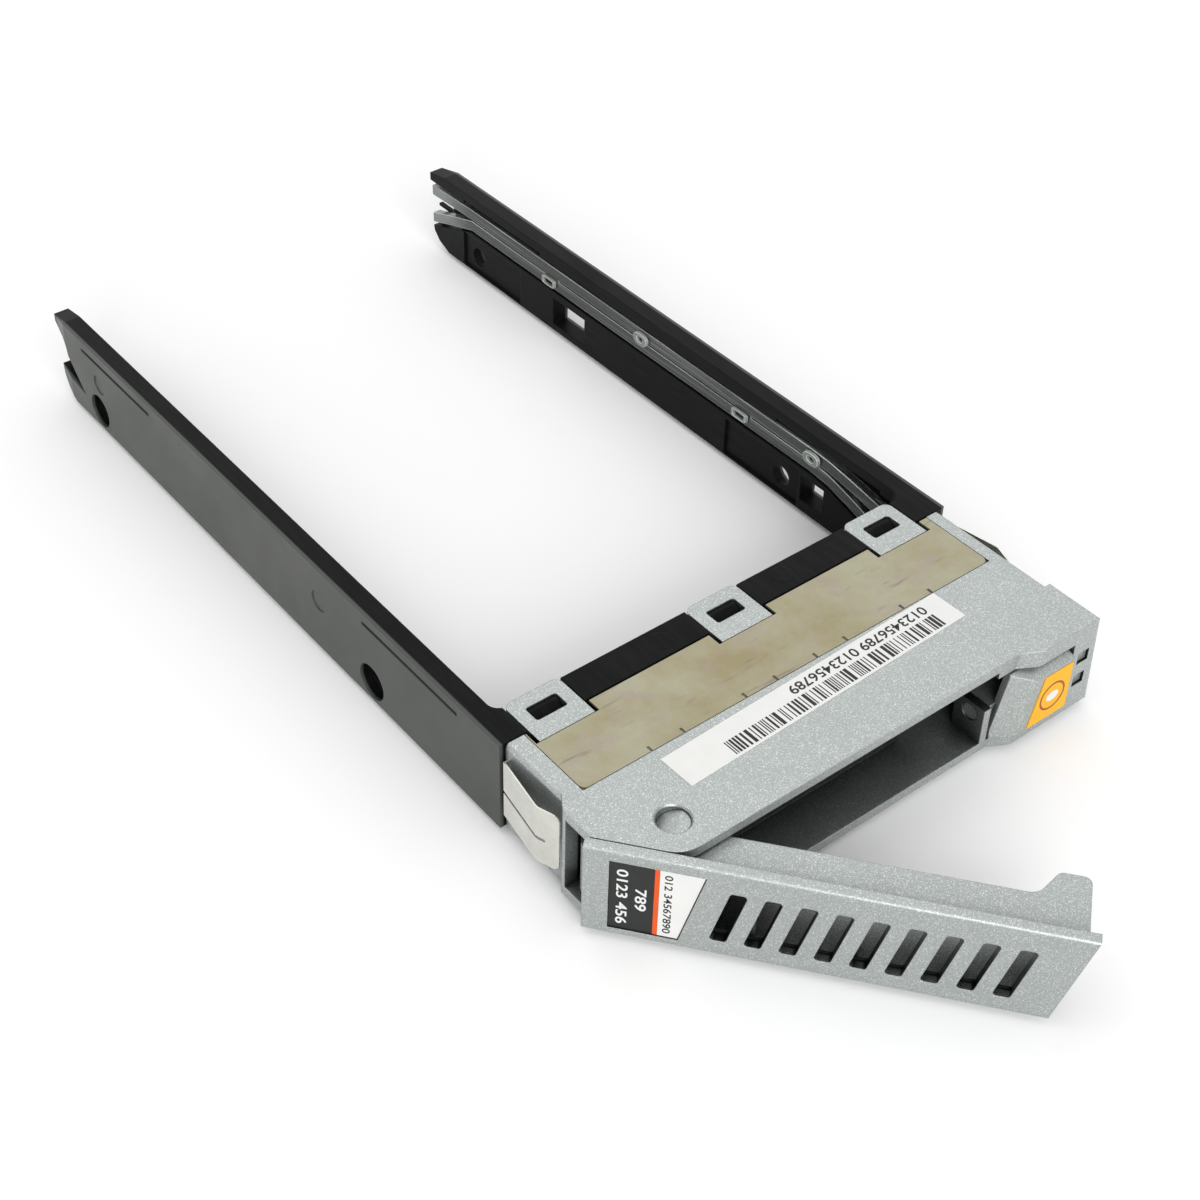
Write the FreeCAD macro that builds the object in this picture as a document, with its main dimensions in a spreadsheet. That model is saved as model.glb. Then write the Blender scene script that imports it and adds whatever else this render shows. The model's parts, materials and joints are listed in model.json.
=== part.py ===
"""Hot swap drive caddy for a 2.5 inch drive, as a parametric FreeCAD document (millimetres).

Frame: +X to the right seen from the front, +Y towards the connector end, +Z up.
Origin: on the plane of the bezel's face, in the middle of its width, at the underside of the rails.
"""
import FreeCAD, Part
import math
import os
import re
import Sketcher

# ---------------------------------------------------------------------------------------------
# Driving dimensions: alias, value, meaning
# ---------------------------------------------------------------------------------------------
SIZES = [
    # whole caddy
    ("half_width", 38.2, "outer face of a rail from the middle plane"),
    ("caddy_height", 14.6, "height of the rails and the bezel"),
    ("caddy_length", 147.5, "bezel face to the tail of the rails"),
    # small distances shared by all pieces
    ("beyond", 1.0, "how far a cutter reaches past the material"),
    ("bite", 0.3, "how far joined features run into each other"),
    ("slack", 0.1, "clearance round a piece that lies in a seat"),
    ("play", 0.05, "clearance of pieces that nearly touch"),
    # rail frame
    ("rail_wall", 3.1, "thickness of a rail"),
    ("rail_front", 28.3, "front end of the rails, behind the bezel"),
    ("crossbar_depth", 5.0, "depth of the crossbar between the rails"),
    ("crossbar_wall", 1.8, "back wall of the crossbar"),
    ("crossbar_rib", 1.6, "ribs inside the crossbar"),
    ("inside_round", 1.8, "fillet between the crossbar and a rail"),
    ("tongue_reach", 6.3, "how far the crossbar's tongue enters the bezel"),
    ("tongue_inset", 4.6, "side of the tongue from the rail's outer face"),
    ("fit_gap", 0.2, "clearance of parts that slide together"),
    ("tail_run", 4.1, "length of the lead-in at the rail's tail"),
    ("tail_drop", 0.8, "drop of the top face over the lead-in"),
    ("tail_taper", 0.6, "inward taper of the outer face over the lead-in"),
    ("groove_depth", 2.0, "depth of the tail's side notch"),
    ("flange_thick", 2.1, "thickness of the rail's top flange"),
    ("ledge_height", 7.5, "height of the wall under the light guide channel"),
    ("channel_depth", 1.6, "depth of the light guide channel"),
    ("channel_dip", 4.0, "drop of the channel where it enters the crossbar"),
    ("channel_entry", 4.0, "length of the passage behind the crossbar"),
    ("fin_low", 6.9, "underside of the lower fin at the tail"),
    ("fin_high", 8.7, "underside of the upper fin at the tail"),
    ("fin_thick", 0.5, "thickness of a fin"),
    ("fin_length", 7.0, "reach of the fins from the tail"),
    ("slit_length", 21.5, "length of a flex slit"),
    ("slit_gap", 0.6, "height of a flex slit"),
    ("slit_front_y", 48.0, "middle of the front flex slit"),
    ("slit_rear_y", 126.8, "middle of the rear flex slit"),
    ("screw_y", 57.1, "front pair of drive screws"),
    ("screw_pitch", 76.6, "distance between the drive screws"),
    ("screw_height", 3.2, "drive screws above the underside"),
    ("screw_hole", 1.7, "radius of a drive screw hole"),
    ("screw_seat", 2.8, "radius of the screw head's seat"),
    ("screw_seat_depth", 1.3, "depth of the screw head's seat"),
    ("panel_depth", 0.4, "depth of the relief round the screw holes"),
    ("panel_low", 0.3, "lower edge of the relief round the screw holes"),
    ("panel_top", 6.8, "top of the relief round the screw holes"),
    ("panel_short", 4.0, "relief beyond the hole, towards the near end"),
    ("panel_long", 12.3, "relief beyond the hole, towards the middle"),
    ("window_rear_y", 108.2, "middle of the large side window"),
    ("window_rear_length", 8.3, "length of the large side window"),
    ("window_rear_sill", 1.2, "sill of the large side window"),
    ("window_rear_top", 6.2, "top of the large side window"),
    ("window_front_y", 50.2, "middle of the small side window"),
    ("window_front_length", 4.7, "length of the small side window"),
    ("window_front_sill", 1.9, "sill of the small side window"),
    ("window_front_lintel", 1.2, "top of the small side window under the ledge"),
    ("ejector_radius", 1.65, "radius of the moulding's ejector marks"),
    ("ejector_depth", 0.15, "depth of the ejector marks"),
    ("ejector_height", 8.7, "ejector marks above the underside"),
    ("ejector_front_y", 69.7, "front ejector mark"),
    ("ejector_rear_y", 132.7, "rear ejector mark"),
    # bezel
    ("bezel_back", 28.1, "back edge of the bezel"),
    ("plate", 1.4, "thickness of the bezel's plates and of the lever's face"),
    ("pivot_inset", 9.3, "lever pivot from the rail's outer face"),
    ("pivot_y", 6.7, "lever pivot behind the bezel's face"),
    ("open_angle", 51.0, "opening angle of the lever"),
    ("side_bulge", 0.2, "left cheek outside the rail's outer face"),
    ("side_step_left", 0.8, "left wall inside the rail's outer face, behind the cheek"),
    ("side_step_right", 1.3, "right wall inside the rail's outer face, behind the cheek"),
    ("side_draft", 0.8, "inward lean of the right cheek over its height"),
    ("top_step_y", 8.5, "inward step in the right edge of the top plate"),
    ("rim_round", 0.7, "rounding of the rim beside the contact plate"),
    ("hole_bevel", 0.25, "bevel of the pivot hole's rim"),
    ("cheek_left_y", 15.5, "end of the left cheek"),
    ("cheek_right_y", 12.5, "end of the right cheek"),
    ("cheek_run", 1.5, "length of the left shoulder behind the cheek"),
    ("shoulder_right_y", 15.8, "end of the right shoulder"),
    ("side_open_y", 15.0, "end of the opening in the left side"),
    ("cavity_back", 8.6, "back wall of the lever's cavity"),
    ("partition", 1.6, "thickness of the cavity's back wall"),
    ("side_wall", 1.6, "side walls of the bezel"),
    ("lean", 0.25, "sideways lean of all slanted lines, per height"),
    ("knee_inset", 14.5, "knee of the face from the right side, at the underside"),
    ("facet_run", 2.9, "width of the slanted facet beside the knee"),
    ("button_inset", 5.0, "right wall of the button's pocket from the side"),
    ("pocket_inset", 17.7, "left wall of the button's pocket from the side"),
    ("bracket_wall", 1.2, "thickness of the button's left bearing"),
    ("bracket_top", 7.2, "top of the button's left bearing"),
    ("brow", 2.45, "thickness of the face above the button"),
    ("tab_left", 8.75, "middle of the left snap tab from the rail's outer face"),
    ("tab_right", 10.0, "middle of the right snap tab from the rail's outer face"),
    ("tab_half", 4.3, "half width of a snap tab"),
    ("tab_round", 1.2, "rounding of a tab's rear corners"),
    ("catch_round", 0.4, "rounding of the corners of a tab's window"),
    ("tab_reach", 5.6, "length of the snap tabs behind the bezel"),
    ("tab_slot", 0.6, "width of the slots beside the tabs"),
    ("tab_slot_depth", 2.2, "depth of the slots beside the tabs"),
    ("catch_front", 29.0, "front edge of a tab's window"),
    ("catch_back", 31.6, "back edge of a tab's window"),
    ("catch_margin", 1.9, "side margin of a tab's window"),
    ("catch_root", 0.5, "how deep a catch is rooted under the tab"),
    ("catch_flat", 0.6, "flat top of a catch"),
    ("catch_toe", 0.3, "height of the front edge of a catch"),
    ("led_inset", 3.7, "inner edge of the light windows from the rail's outer face"),
    ("led_width", 2.1, "width of the light windows"),
    ("led_upper", 8.0, "sill of the upper light window"),
    ("led_lower", 4.0, "sill of the lower light window"),
    ("led_height", 1.95, "height of the light windows"),
    ("led_wall", 2.0, "wall in front of the light pipes"),
    # contact plate and springs
    ("contact_inset", 3.7, "end of the contact plate from the rail's outer face"),
    ("contact_front", 16.6, "front edge of the contact plate"),
    ("contact_sheet", 0.3, "thickness of the contact plate"),
    ("contact_notch", 0.9, "depth of the plate's notches at the tabs"),
    ("prong_outer", 21.3, "outer pairs of cuts in the plate's front edge"),
    ("prong_inner", 6.0, "inner pairs of cuts in the plate's front edge"),
    ("prong_half", 2.8, "half width of a pair of cuts"),
    ("prong_slit", 0.4, "width of a cut"),
    ("spring_sheet", 0.2, "thickness of the spring sheets"),
    ("spring_root", 0.1, "root of a side spring outside the rail's outer face"),
    ("spring_crest", 1.4, "crest of a side spring outside the rail's outer face"),
    ("spring_tip", 0.3, "free edge of a side spring outside the rail's outer face"),
    ("spring_root_y", 27.2, "front face of a side spring's root"),
    ("spring_crest_y", 19.2, "crest of a side spring"),
    ("spring_tip_y", 16.0, "free edge of a side spring"),
    ("spring_anchor", 0.6, "how far a side spring's root enters the bezel's wall"),
    ("spring_bend", 1.5, "inside radius of a side spring's crest"),
    ("spring_corner", 1.0, "rounding of a side spring's free corners"),
    ("spring_slit_low", 7.2, "lower edge of the slit in a side spring"),
    ("spring_slit", 0.5, "width of the slit in a side spring"),
    ("spring_slit_y", 17.9, "front end of the slit in a side spring"),
    ("spring_low", 3.3, "lower edge of the side springs"),
    ("spring_top", 1.9, "upper edge of the side springs under the top face"),
    ("finger_radius", 11.0, "bend of the fingers under the bezel"),
    ("finger_rise", 1.0, "how far the fingers stand out"),
    ("finger_y", 19.0, "middle of the fingers"),
    ("finger_count", 8, "number of fingers"),
    ("finger_pitch", 8.4, "pitch of the fingers"),
    ("finger_gap", 1.6, "gap between the fingers"),
    ("slot_reach", 6.0, "half length of the gaps between the fingers"),
    ("strip_reach", 7.5, "half width of the finger strip"),
    ("strip_inner", 4.4, "inner edge of the strip's flat borders from its middle"),
    # lever
    ("lever_left", 9.37, "left end of the lever from the pivot"),
    ("lever_right", 45.2, "right end of the lever from the pivot, at the underside"),
    ("flange_gap", 0.3, "clearance between a lever flange and the bezel's plate"),
    ("flange", 1.2, "thickness of the lever's flanges"),
    ("flange_back", 0.4, "back edge of the lever's flanges behind the pivot"),
    ("flange_corner", 0.9, "bevel of the lower flange at its free end"),
    ("rib_first", 10.2, "first rib between the flanges, from the pivot"),
    ("rib_pitch", 12.0, "pitch of the ribs"),
    ("rib_thick", 1.0, "thickness of a rib"),
    ("rib_deep", 1.6, "depth of a rib"),
    ("hub_radius", 4.9, "hub of the lever"),
    ("post_radius", 2.4, "post between the flanges, inside the torsion spring"),
    ("trunnion", 2.1, "radius of the lever's trunnions"),
    ("bearing_gap", 0.05, "radial clearance of trunnions"),
    ("trunnion_inset", 0.5, "trunnions below the plates' outer faces"),
    ("trunnion_lead", 1.0, "drop of the slope on the upper trunnion"),
    ("tab_start", 41.9, "foot of the lever's tab from the pivot"),
    ("tab_crest", 44.15, "inner corner of the lever's tab from the pivot"),
    ("tab_foot_round", 2.0, "hollow at the foot of the lever's tab"),
    ("tab_crest_round", 1.0, "roundings of the lever's tab"),
    ("tab_window", 40.0, "near end of the window for the lever's tab, from the pivot"),
    ("tab_height", 4.2, "back edge of the lever's tab behind the pivot"),
    ("tab_end", 47.8, "end of the lever's tab from the pivot"),
    ("lug_start", 44.7, "start of the latch lug from the pivot"),
    ("lug_end", 46.9, "end of the latch lug from the pivot"),
    ("lug_thick", 1.0, "thickness of the latch lug"),
    ("lug_bottom", 6.8, "lower edge of the latch lug"),
    ("claw_radius", 10.8, "reach of the claw from the pivot"),
    ("claw_low", 3.0, "underside of the claw"),
    ("claw_top", 3.6, "top of the claw under the top face"),
    ("claw_room", 0.4, "clearance round the claw"),
    ("claw_wall", 2.0, "wall round the claw"),
    ("vent_count", 9, "number of vents in the lever"),
    ("vent_pitch", 4.08, "pitch of the vents"),
    ("vent_width", 2.05, "width of a vent"),
    ("vent_low", 2.5, "lower end of the vents"),
    ("vent_top", 3.5, "upper end of the vents under the top face"),
    ("vent_round", 0.45, "rounding of the vents' corners"),
    ("lever_round", 0.45, "rounding of the long edges of the lever's face"),
    ("vent_start", 5.93, "first vent from the pivot, at its lower end"),
    ("label_depth", 0.25, "depth of the lever's label pocket"),
    ("label_sheet", 0.1, "thickness of the labels"),
    ("label_margin", 3.2, "label pocket from the lever's left end"),
    ("label_low", 1.2, "lower edge of the label pocket"),
    ("label_top", 1.7, "upper edge of the label pocket under the top face"),
    ("label_length", 8.5, "length of the label pocket at its lower edge"),
    # release button
    ("button_pivot_y", 4.0, "button pivot behind the bezel's face"),
    ("button_pivot_z", 5.4, "button pivot above the underside"),
    ("button_proud", 0.6, "button's flat in front of the bezel's face"),
    ("button_gap", 0.3, "clearance round the button"),
    ("button_back", 2.4, "back of the button's plate"),
    ("button_bevel", 0.4, "bevel of the button's lower edge"),
    ("button_slope", 1.6, "back end of the slope on top of the button"),
    ("button_foot", 1.2, "upright foot of the button's leaning edge"),
    ("facet_step", 0.5, "facet of the button in front of the bezel's knee"),
    ("facet_end", 0.9, "facet of the button past the bezel's facet"),
    ("facet_deep", 1.5, "back end of the button's facet"),
    ("facet_room", 8.0, "width of the cutter of the facet"),
    ("amber_left", 1.9, "left edge of the button's label from the knee"),
    ("amber_low", 2.2, "lower edge of the button's label"),
    ("amber_margin", 0.4, "margin of the button's label"),
    ("button_shoulder", 11.65, "top of the button's back"),
    ("button_brow", 10.5, "top of the button's flat"),
    ("stub_radius", 1.2, "radius of the button's stub trunnions"),
    ("stub_reach", 0.9, "how far the right stub enters its bearing"),
    ("stub_hole", 1.6, "depth of the bearing of the right stub"),
    ("block_half", 1.6, "half side of the block round the stubs"),
    ("arm_low", 4.9, "underside of the button's tail arm"),
    ("arm_high", 6.5, "top of the button's tail arm"),
    ("arm_length", 6.8, "width of the tail arm"),
    ("arm_corner", 0.6, "bevel of the tail arm's corner"),
    ("arm_slope", 1.2, "front of the tail arm at the button's left end"),
    ("tail_room", 8.0, "room for the tail arm, from the pocket's left wall"),
    ("tooth_top", 7.6, "top of the tail arm's tooth"),
    ("tooth_front", 8.3, "front of the tooth"),
    ("tooth_back", 9.7, "back of the tooth"),
    ("tooth_flat", 0.5, "flat top of the tooth"),
    ("tooth_room", 0.6, "clearance round the tooth"),
    ("coil_radius", 1.5, "mean radius of the button's spring"),
    ("coil_wire", 0.4, "wire of the button's spring"),
    ("coil_turns", 4.5, "turns of the button's spring"),
    ("coil_x", 26.0, "button spring from the middle plane"),
    ("coil_y", 7.4, "button spring behind the bezel's face"),
    ("torsion_radius", 3.5, "mean radius of the lever's spring"),
    ("torsion_wire", 0.7, "wire of the lever's spring"),
    ("torsion_turns", 4.25, "turns of the lever's spring"),
    ("torsion_pitch", 0.756, "pitch of the lever's spring"),
    ("torsion_low_leg", 4.9, "length of the lower leg"),
    ("torsion_high_leg", 4.0, "length of the upper leg"),
    ("torsion_low", 4.0, "underside of the lever's spring"),
    # light guide
    ("pipe_thick", 1.35, "thickness of a light pipe in its channel"),
    ("pipe_tall", 1.85, "height of a light pipe"),
    ("pipe_gap", 0.35, "gap between the light pipes in the channel"),
    ("pipe_lift", 0.4, "lower pipe above the channel's ledge"),
    ("turn_outer", 1.5, "outer turn of the pipes before the right cheek's end"),
    ("turn_inner", 3.5, "inner turn of the pipes before the right cheek's end"),
    ("pipe_recess", 0.4, "ends of the pipes inside the outer faces"),
    ("pipe_split", 12.0, "start of the split before the tail"),
    ("tail_lower", 4.2, "underside of the lower pipe at the tail"),
    ("tail_upper", 9.7, "underside of the upper pipe at the tail"),
    # top label
    ("top_label_length", 47.9, "length of the top label"),
    ("top_label_width", 5.5, "width of the top label"),
    ("top_label_y", 12.85, "middle of the top label"),
    ("top_label_turn", 1.85, "turn of the top label, degrees"),
]

doc = FreeCAD.newDocument("DriveCaddy")
sheet = doc.addObject("Spreadsheet::Sheet", "Sizes")
for row, (alias, value, meaning) in enumerate(SIZES, start=1):
    sheet.set("A%d" % row, meaning)
    sheet.set("B%d" % row, str(value))
    sheet.setAlias("B%d" % row, alias)
doc.recompute()

WIRE_FLATS = 6
NEAR = 0.02
# rounded toe and side notch of the tails: (before the rail's end, above the underside)
TOE = ((5.1, 0), (2.3, 1.2), (0.9, 2.7), (0.6, 3.9), (0.6, 5.0), (0, 5.6))
NOTCH = ((-1, 5.1), (9.2, 3.6), (4.4, 8.5), (4.1, 10.0), (3.1, 11.3), (0.5, 12.5), (-1, 12.9))
# floor of the light guide channel: (behind the crossbar or before the end, below the ledge)
CHANNEL_DIP = ((0, 4.0), (3.5, 3.6), (9, 1.8), (14, 0.4), (18, 0))
CHANNEL_TAIL = ((12, 0), (7, 1.6), (3, 3.2), (-1, 4.2))
# rise of a light pipe from its window to its channel: (behind the crossbar, share of the rise)
PIPE_CLIMB = ((0, 0), (4, 0.15), (9.5, 0.6), (14, 0.9), (18, 1))
# lugs between the pipes: (behind the bezel's face, length)
LUGS = ((51.0, 1.7), (66.0, 3.6), (90.0, 2.2), (113.0, 3.6))
# outline of the claw about the pivot of the closed lever: (across, along)
CLAW = ((-10.27, -3.2), (-10.8, -0.4), (-10.5, 2.0), (-9.5, 2.6), (-6.5, 2.2), (-4.7, -1.6))
TABS = ("tab_left - half_width", "0", "half_width - tab_right")
ALIASES = {alias for alias, _value, _meaning in SIZES}
pieces = []


# ---------------------------------------------------------------------------------------------
# Helpers
# ---------------------------------------------------------------------------------------------
def size(alias):
    """Value of one driving dimension."""
    return float(sheet.get(alias))


def bound(expression):
    """The expression with each alias written as a cell of the sheet."""
    def name(found):
        word = found.group(0)
        return "Sizes." + word if word in ALIASES else word
    return re.sub(r"[A-Za-z_]+", name, expression)


def new_body(label):
    """An empty body that becomes one piece of the caddy."""
    body = doc.addObject("PartDesign::Body", label)
    body.Label = label
    pieces.append(body)
    return body


def new_sketch(body, plane, start):
    """A sketch on one of the body's origin planes, moved along the plane's normal."""
    role = {"XY": "XY_Plane", "XZ": "XZ_Plane", "YZ": "YZ_Plane"}[plane]
    origin_plane = [item for item in body.Origin.OriginFeatures if item.Role == role][0]
    sketch = body.newObject("Sketcher::SketchObject", body.Name + "_profile")
    sketch.AttachmentSupport = [(origin_plane, "")]
    sketch.MapMode = "FlatFace"
    sketch.setExpression("AttachmentOffset.Base.z", bound(start))
    return sketch


def outline(body, plane, start, points):
    """A closed outline of straight sides; each corner is held by its two coordinates."""
    sketch = new_sketch(body, plane, start)
    count = len(points)
    turn = 2 * math.pi / count
    ring = [FreeCAD.Vector(math.cos(turn * i), math.sin(turn * i), 0) for i in range(count)]
    sketch.addGeometry([Part.LineSegment(ring[i], ring[(i + 1) % count]) for i in range(count)], False)
    sketch.addConstraint([Sketcher.Constraint("Coincident", i, 2, (i + 1) % count, 1)
                          for i in range(count)])
    for corner, (across, up) in enumerate(points):
        for kind, expression in (("DistanceX", across), ("DistanceY", up)):
            index = sketch.addConstraint(Sketcher.Constraint(kind, -1, 1, corner, 1, 1.0))
            sketch.setExpression("Constraints[%d]" % index, bound(expression))
    return sketch


def disc(body, plane, start, centre, radius):
    """A circle held by its centre and radius."""
    sketch = new_sketch(body, plane, start)
    sketch.addGeometry(Part.Circle(FreeCAD.Vector(1, 1, 0), FreeCAD.Vector(0, 0, 1), 1.0), False)
    for kind, expression in (("DistanceX", centre[0]), ("DistanceY", centre[1])):
        index = sketch.addConstraint(Sketcher.Constraint(kind, -1, 1, 0, 3, 1.0))
        sketch.setExpression("Constraints[%d]" % index, bound(expression))
    index = sketch.addConstraint(Sketcher.Constraint("Radius", 0, 1.0))
    sketch.setExpression("Constraints[%d]" % index, bound(radius))
    return sketch


def span(plane, low, high):
    """Offset and length of a feature between two world coordinates; the XZ normal is -Y."""
    start = "-(%s)" % high if plane == "XZ" else low
    return start, "(%s) - (%s)" % (high, low)


def grow(body, sketch, length):
    """Adds the sketch's prism to the body."""
    pad = body.newObject("PartDesign::Pad", body.Name + "_pad")
    pad.Profile = sketch
    pad.setExpression("Length", bound(length))
    doc.recompute()
    return pad


def carve(body, sketch, length):
    """Cuts the sketch's prism out of the body and makes sure that it removed something."""
    before = body.Shape.Volume
    pocket = body.newObject("PartDesign::Pocket", body.Name + "_pocket")
    pocket.Profile = sketch
    pocket.Reversed = True
    pocket.setExpression("Length", bound(length))
    doc.recompute()
    if body.Shape.Volume > before - 1e-4:
        raise ValueError("%s: %s cuts nothing" % (body.Label, sketch.Name))
    return pocket


def add_prism(body, plane, low, high, points):
    start, length = span(plane, low, high)
    return grow(body, outline(body, plane, start, points), length)


def cut_prism(body, plane, low, high, points):
    start, length = span(plane, low, high)
    return carve(body, outline(body, plane, start, points), length)


def add_round(body, plane, low, high, centre, radius):
    start, length = span(plane, low, high)
    return grow(body, disc(body, plane, start, centre, radius), length)


def cut_round(body, plane, low, high, centre, radius):
    start, length = span(plane, low, high)
    return carve(body, disc(body, plane, start, centre, radius), length)


def box(low_x, high_x, low_y, high_y):
    """Corners of a rectangle, as expressions."""
    return [(low_x, low_y), (high_x, low_y), (high_x, high_y), (low_x, high_y)]


def repeat(body, feature, axis_role, length, count):
    """A row of copies of a feature along one of the body's axes."""
    axis = [item for item in body.Origin.OriginFeatures if item.Role == axis_role][0]
    row = body.newObject("PartDesign::LinearPattern", body.Name + "_row")
    row.Originals = [feature]
    row.Direction = (axis, [""])
    row.setExpression("Length", bound(length))
    row.setExpression("Occurrences", bound(count))
    body.Tip = row
    doc.recompute()
    return row


def edges_along(shape, axis, places):
    """Names of the straight edges along an axis that pass through the given cross positions."""
    index = "XYZ".index(axis)
    others = [i for i in range(3) if i != index]
    names = []
    for number, edge in enumerate(shape.Edges, start=1):
        if not isinstance(edge.Curve, Part.Line):
            continue
        direction = edge.Curve.Direction
        if abs(abs(direction[index]) - 1) > 1e-6:
            continue
        middle = edge.CenterOfMass
        for place in places:
            if all(abs(middle[i] - wanted) < NEAR for i, wanted in zip(others, place)):
                names.append("Edge%d" % number)
    return names


def soften(body, axis, places, radius, kind="PartDesign::Fillet"):
    """Fillets the straight edges along an axis at the given cross positions."""
    names = edges_along(body.Shape, axis, places)
    if not names:
        raise ValueError("%s: no edge to round" % body.Label)
    base = body.Tip
    feature = body.newObject(kind, body.Name + "_edge")
    feature.Base = (base, names)
    feature.setExpression("Radius" if kind.endswith("Fillet") else "Size", bound(radius))
    body.Tip = feature
    doc.recompute()
    return feature


def soften_ring(body, centre, radius, depth):
    """Bevels the round edge with the given centre and radius."""
    middle = FreeCAD.Vector(*centre)
    names = ["Edge%d" % number for number, edge in enumerate(body.Shape.Edges, start=1)
             if isinstance(edge.Curve, Part.Circle) and abs(edge.Curve.Radius - radius) < NEAR
             and edge.Curve.Center.distanceToPoint(middle) < NEAR]
    if not names:
        raise ValueError("%s: no rim to bevel" % body.Label)
    base = body.Tip
    feature = body.newObject("PartDesign::Chamfer", body.Name + "_rim")
    feature.Base = (base, names)
    feature.setExpression("Size", bound(depth))
    body.Tip = feature
    doc.recompute()
    return feature


def shaped(label, shape):
    """A piece whose form neither a body nor a primitive can hold."""
    piece = doc.addObject("Part::Feature", label)
    piece.Label = label
    piece.Shape = shape
    pieces.append(piece)
    return piece


# ---------------------------------------------------------------------------------------------
# Rail frame: two rails and the crossbar, one moulding
# ---------------------------------------------------------------------------------------------
def make_rail_frame():
    frame = new_body("rail_frame")
    inner = "half_width - rail_wall"
    crossbar_back = "rail_front + crossbar_depth"
    add_prism(frame, "XY", "0", "caddy_height", [
        ("-half_width", "rail_front"), ("half_width", "rail_front"),
        ("half_width", "caddy_length"), (inner, "caddy_length"),
        (inner, crossbar_back), ("-(%s)" % inner, crossbar_back),
        ("-(%s)" % inner, "caddy_length"), ("-half_width", "caddy_length")])
    inside = size("half_width") - size("rail_wall")
    back = size("rail_front") + size("crossbar_depth")
    soften(frame, "Z", [(inside, back), (-inside, back)], "inside_round")

    # tongue that enters the bezel
    add_prism(frame, "XY", "plate + fit_gap", "caddy_height - plate - fit_gap",
              box("tongue_inset - half_width", "half_width - tongue_inset",
                  "rail_front - tongue_reach", "rail_front + beyond"))
    # cells of the crossbar and its tongue, open towards the bezel
    half_cell = "(half_width - tongue_inset - 2.5 * crossbar_rib) / 4"
    cell_low = "2 * plate + fit_gap"
    cell_high = "caddy_height - 2 * plate - fit_gap"
    for middle in ("-3", "-beyond", "1", "3"):
        centre = "%s * (%s + crossbar_rib / 2)" % (middle, half_cell)
        cut_prism(frame, "XY", cell_low, cell_high,
                  box("%s - %s" % (centre, half_cell), "%s + %s" % (centre, half_cell),
                      "rail_front - tongue_reach - beyond", "rail_front + crossbar_depth - crossbar_wall"))
    # seats of the bezel's snap tabs, with a ramped catch in each
    tab_floor = "caddy_height - plate - fit_gap"
    for middle in TABS:
        low, high = "%s - tab_half" % middle, "%s + tab_half" % middle
        cut_prism(frame, "XY", tab_floor, "caddy_height + beyond",
                  box("%s - fit_gap" % low, "%s + fit_gap" % high,
                      "rail_front - beyond", "rail_front + crossbar_depth + beyond"))
        add_prism(frame, "YZ", "%s + catch_margin + fit_gap" % low, "%s - catch_margin - fit_gap" % high,
                  [("catch_front + fit_gap", "%s - catch_root" % tab_floor),
                   ("catch_back - fit_gap", "%s - catch_root" % tab_floor),
                   ("catch_back - fit_gap", "caddy_height - fit_gap"),
                   ("catch_back - fit_gap - catch_flat", "caddy_height - fit_gap"),
                   ("catch_front + fit_gap", "%s + catch_toe" % tab_floor)])

    # tails: lead-in on top and outside, round toe, side notch
    cut_prism(frame, "YZ", "-half_width - beyond", "half_width + beyond",
              [("caddy_length - tail_run", "caddy_height"),
               ("caddy_length + beyond", "caddy_height - tail_drop"),
               ("caddy_length + beyond", "caddy_height + beyond"),
               ("caddy_length - tail_run", "caddy_height + beyond")])
    toe = [("caddy_length - %s" % before, str(up)) for before, up in TOE]
    cut_prism(frame, "YZ", "-half_width - beyond", "half_width + beyond", toe + [
        ("caddy_length + beyond", toe[-1][1]), ("caddy_length + beyond", "-beyond"), (toe[0][0], "-beyond")])
    tail_notch = [("caddy_length - %s" % before, str(up)) for before, up in NOTCH]
    for low, high in (("half_width - groove_depth", "half_width + beyond"),
                      ("-half_width - beyond", "-half_width + groove_depth")):
        cut_prism(frame, "YZ", low, high, tail_notch)
    for side in ("", "-"):
        cut_prism(frame, "XY", "-beyond", "caddy_height + beyond",
                  [("%shalf_width" % side, "caddy_length - tail_run"),
                   ("%s(half_width - tail_taper)" % side, "caddy_length"),
                   ("%s(half_width - tail_taper)" % side, "caddy_length + beyond"),
                   ("%s(half_width + 1)" % side, "caddy_length + beyond"),
                   ("%s(half_width + 1)" % side, "caddy_length - tail_run")])

    # light guide channel in the right rail, which dips to the bezel in front and opens at the tail
    flange_under = "caddy_height - flange_thick"
    channel = [("%s + %s" % (crossbar_back, behind), "ledge_height - %s" % drop)
               for behind, drop in CHANNEL_DIP]
    channel += [("caddy_length - %s" % before, "ledge_height - %s" % drop) for before, drop in CHANNEL_TAIL]
    channel += [("caddy_length + beyond", flange_under), (crossbar_back, flange_under)]
    channel_floor = "half_width - rail_wall + channel_depth"
    channel_entry = "%s + channel_entry" % crossbar_back
    cut_prism(frame, "YZ", "half_width - rail_wall - beyond", channel_floor, channel)
    cut_prism(frame, "XY", "ledge_height - channel_dip", flange_under,
              [("half_width - tongue_inset + fit_gap", "rail_front - 2 * beyond"),
               ("half_width - tongue_inset + fit_gap", crossbar_back),
               ("half_width - rail_wall - fit_gap", channel_entry), (channel_floor, channel_entry),
               (channel_floor, "rail_front - 2 * beyond")])
    # thin fins across the side notch, beside the ends of the pipes
    for level in ("fin_low", "fin_high"):
        add_prism(frame, "XY", level, "%s + fin_thick" % level,
                  box("%s - play" % channel_floor, "half_width - tail_taper - fit_gap",
                      "caddy_length - fin_length", "caddy_length - bite"))

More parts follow.
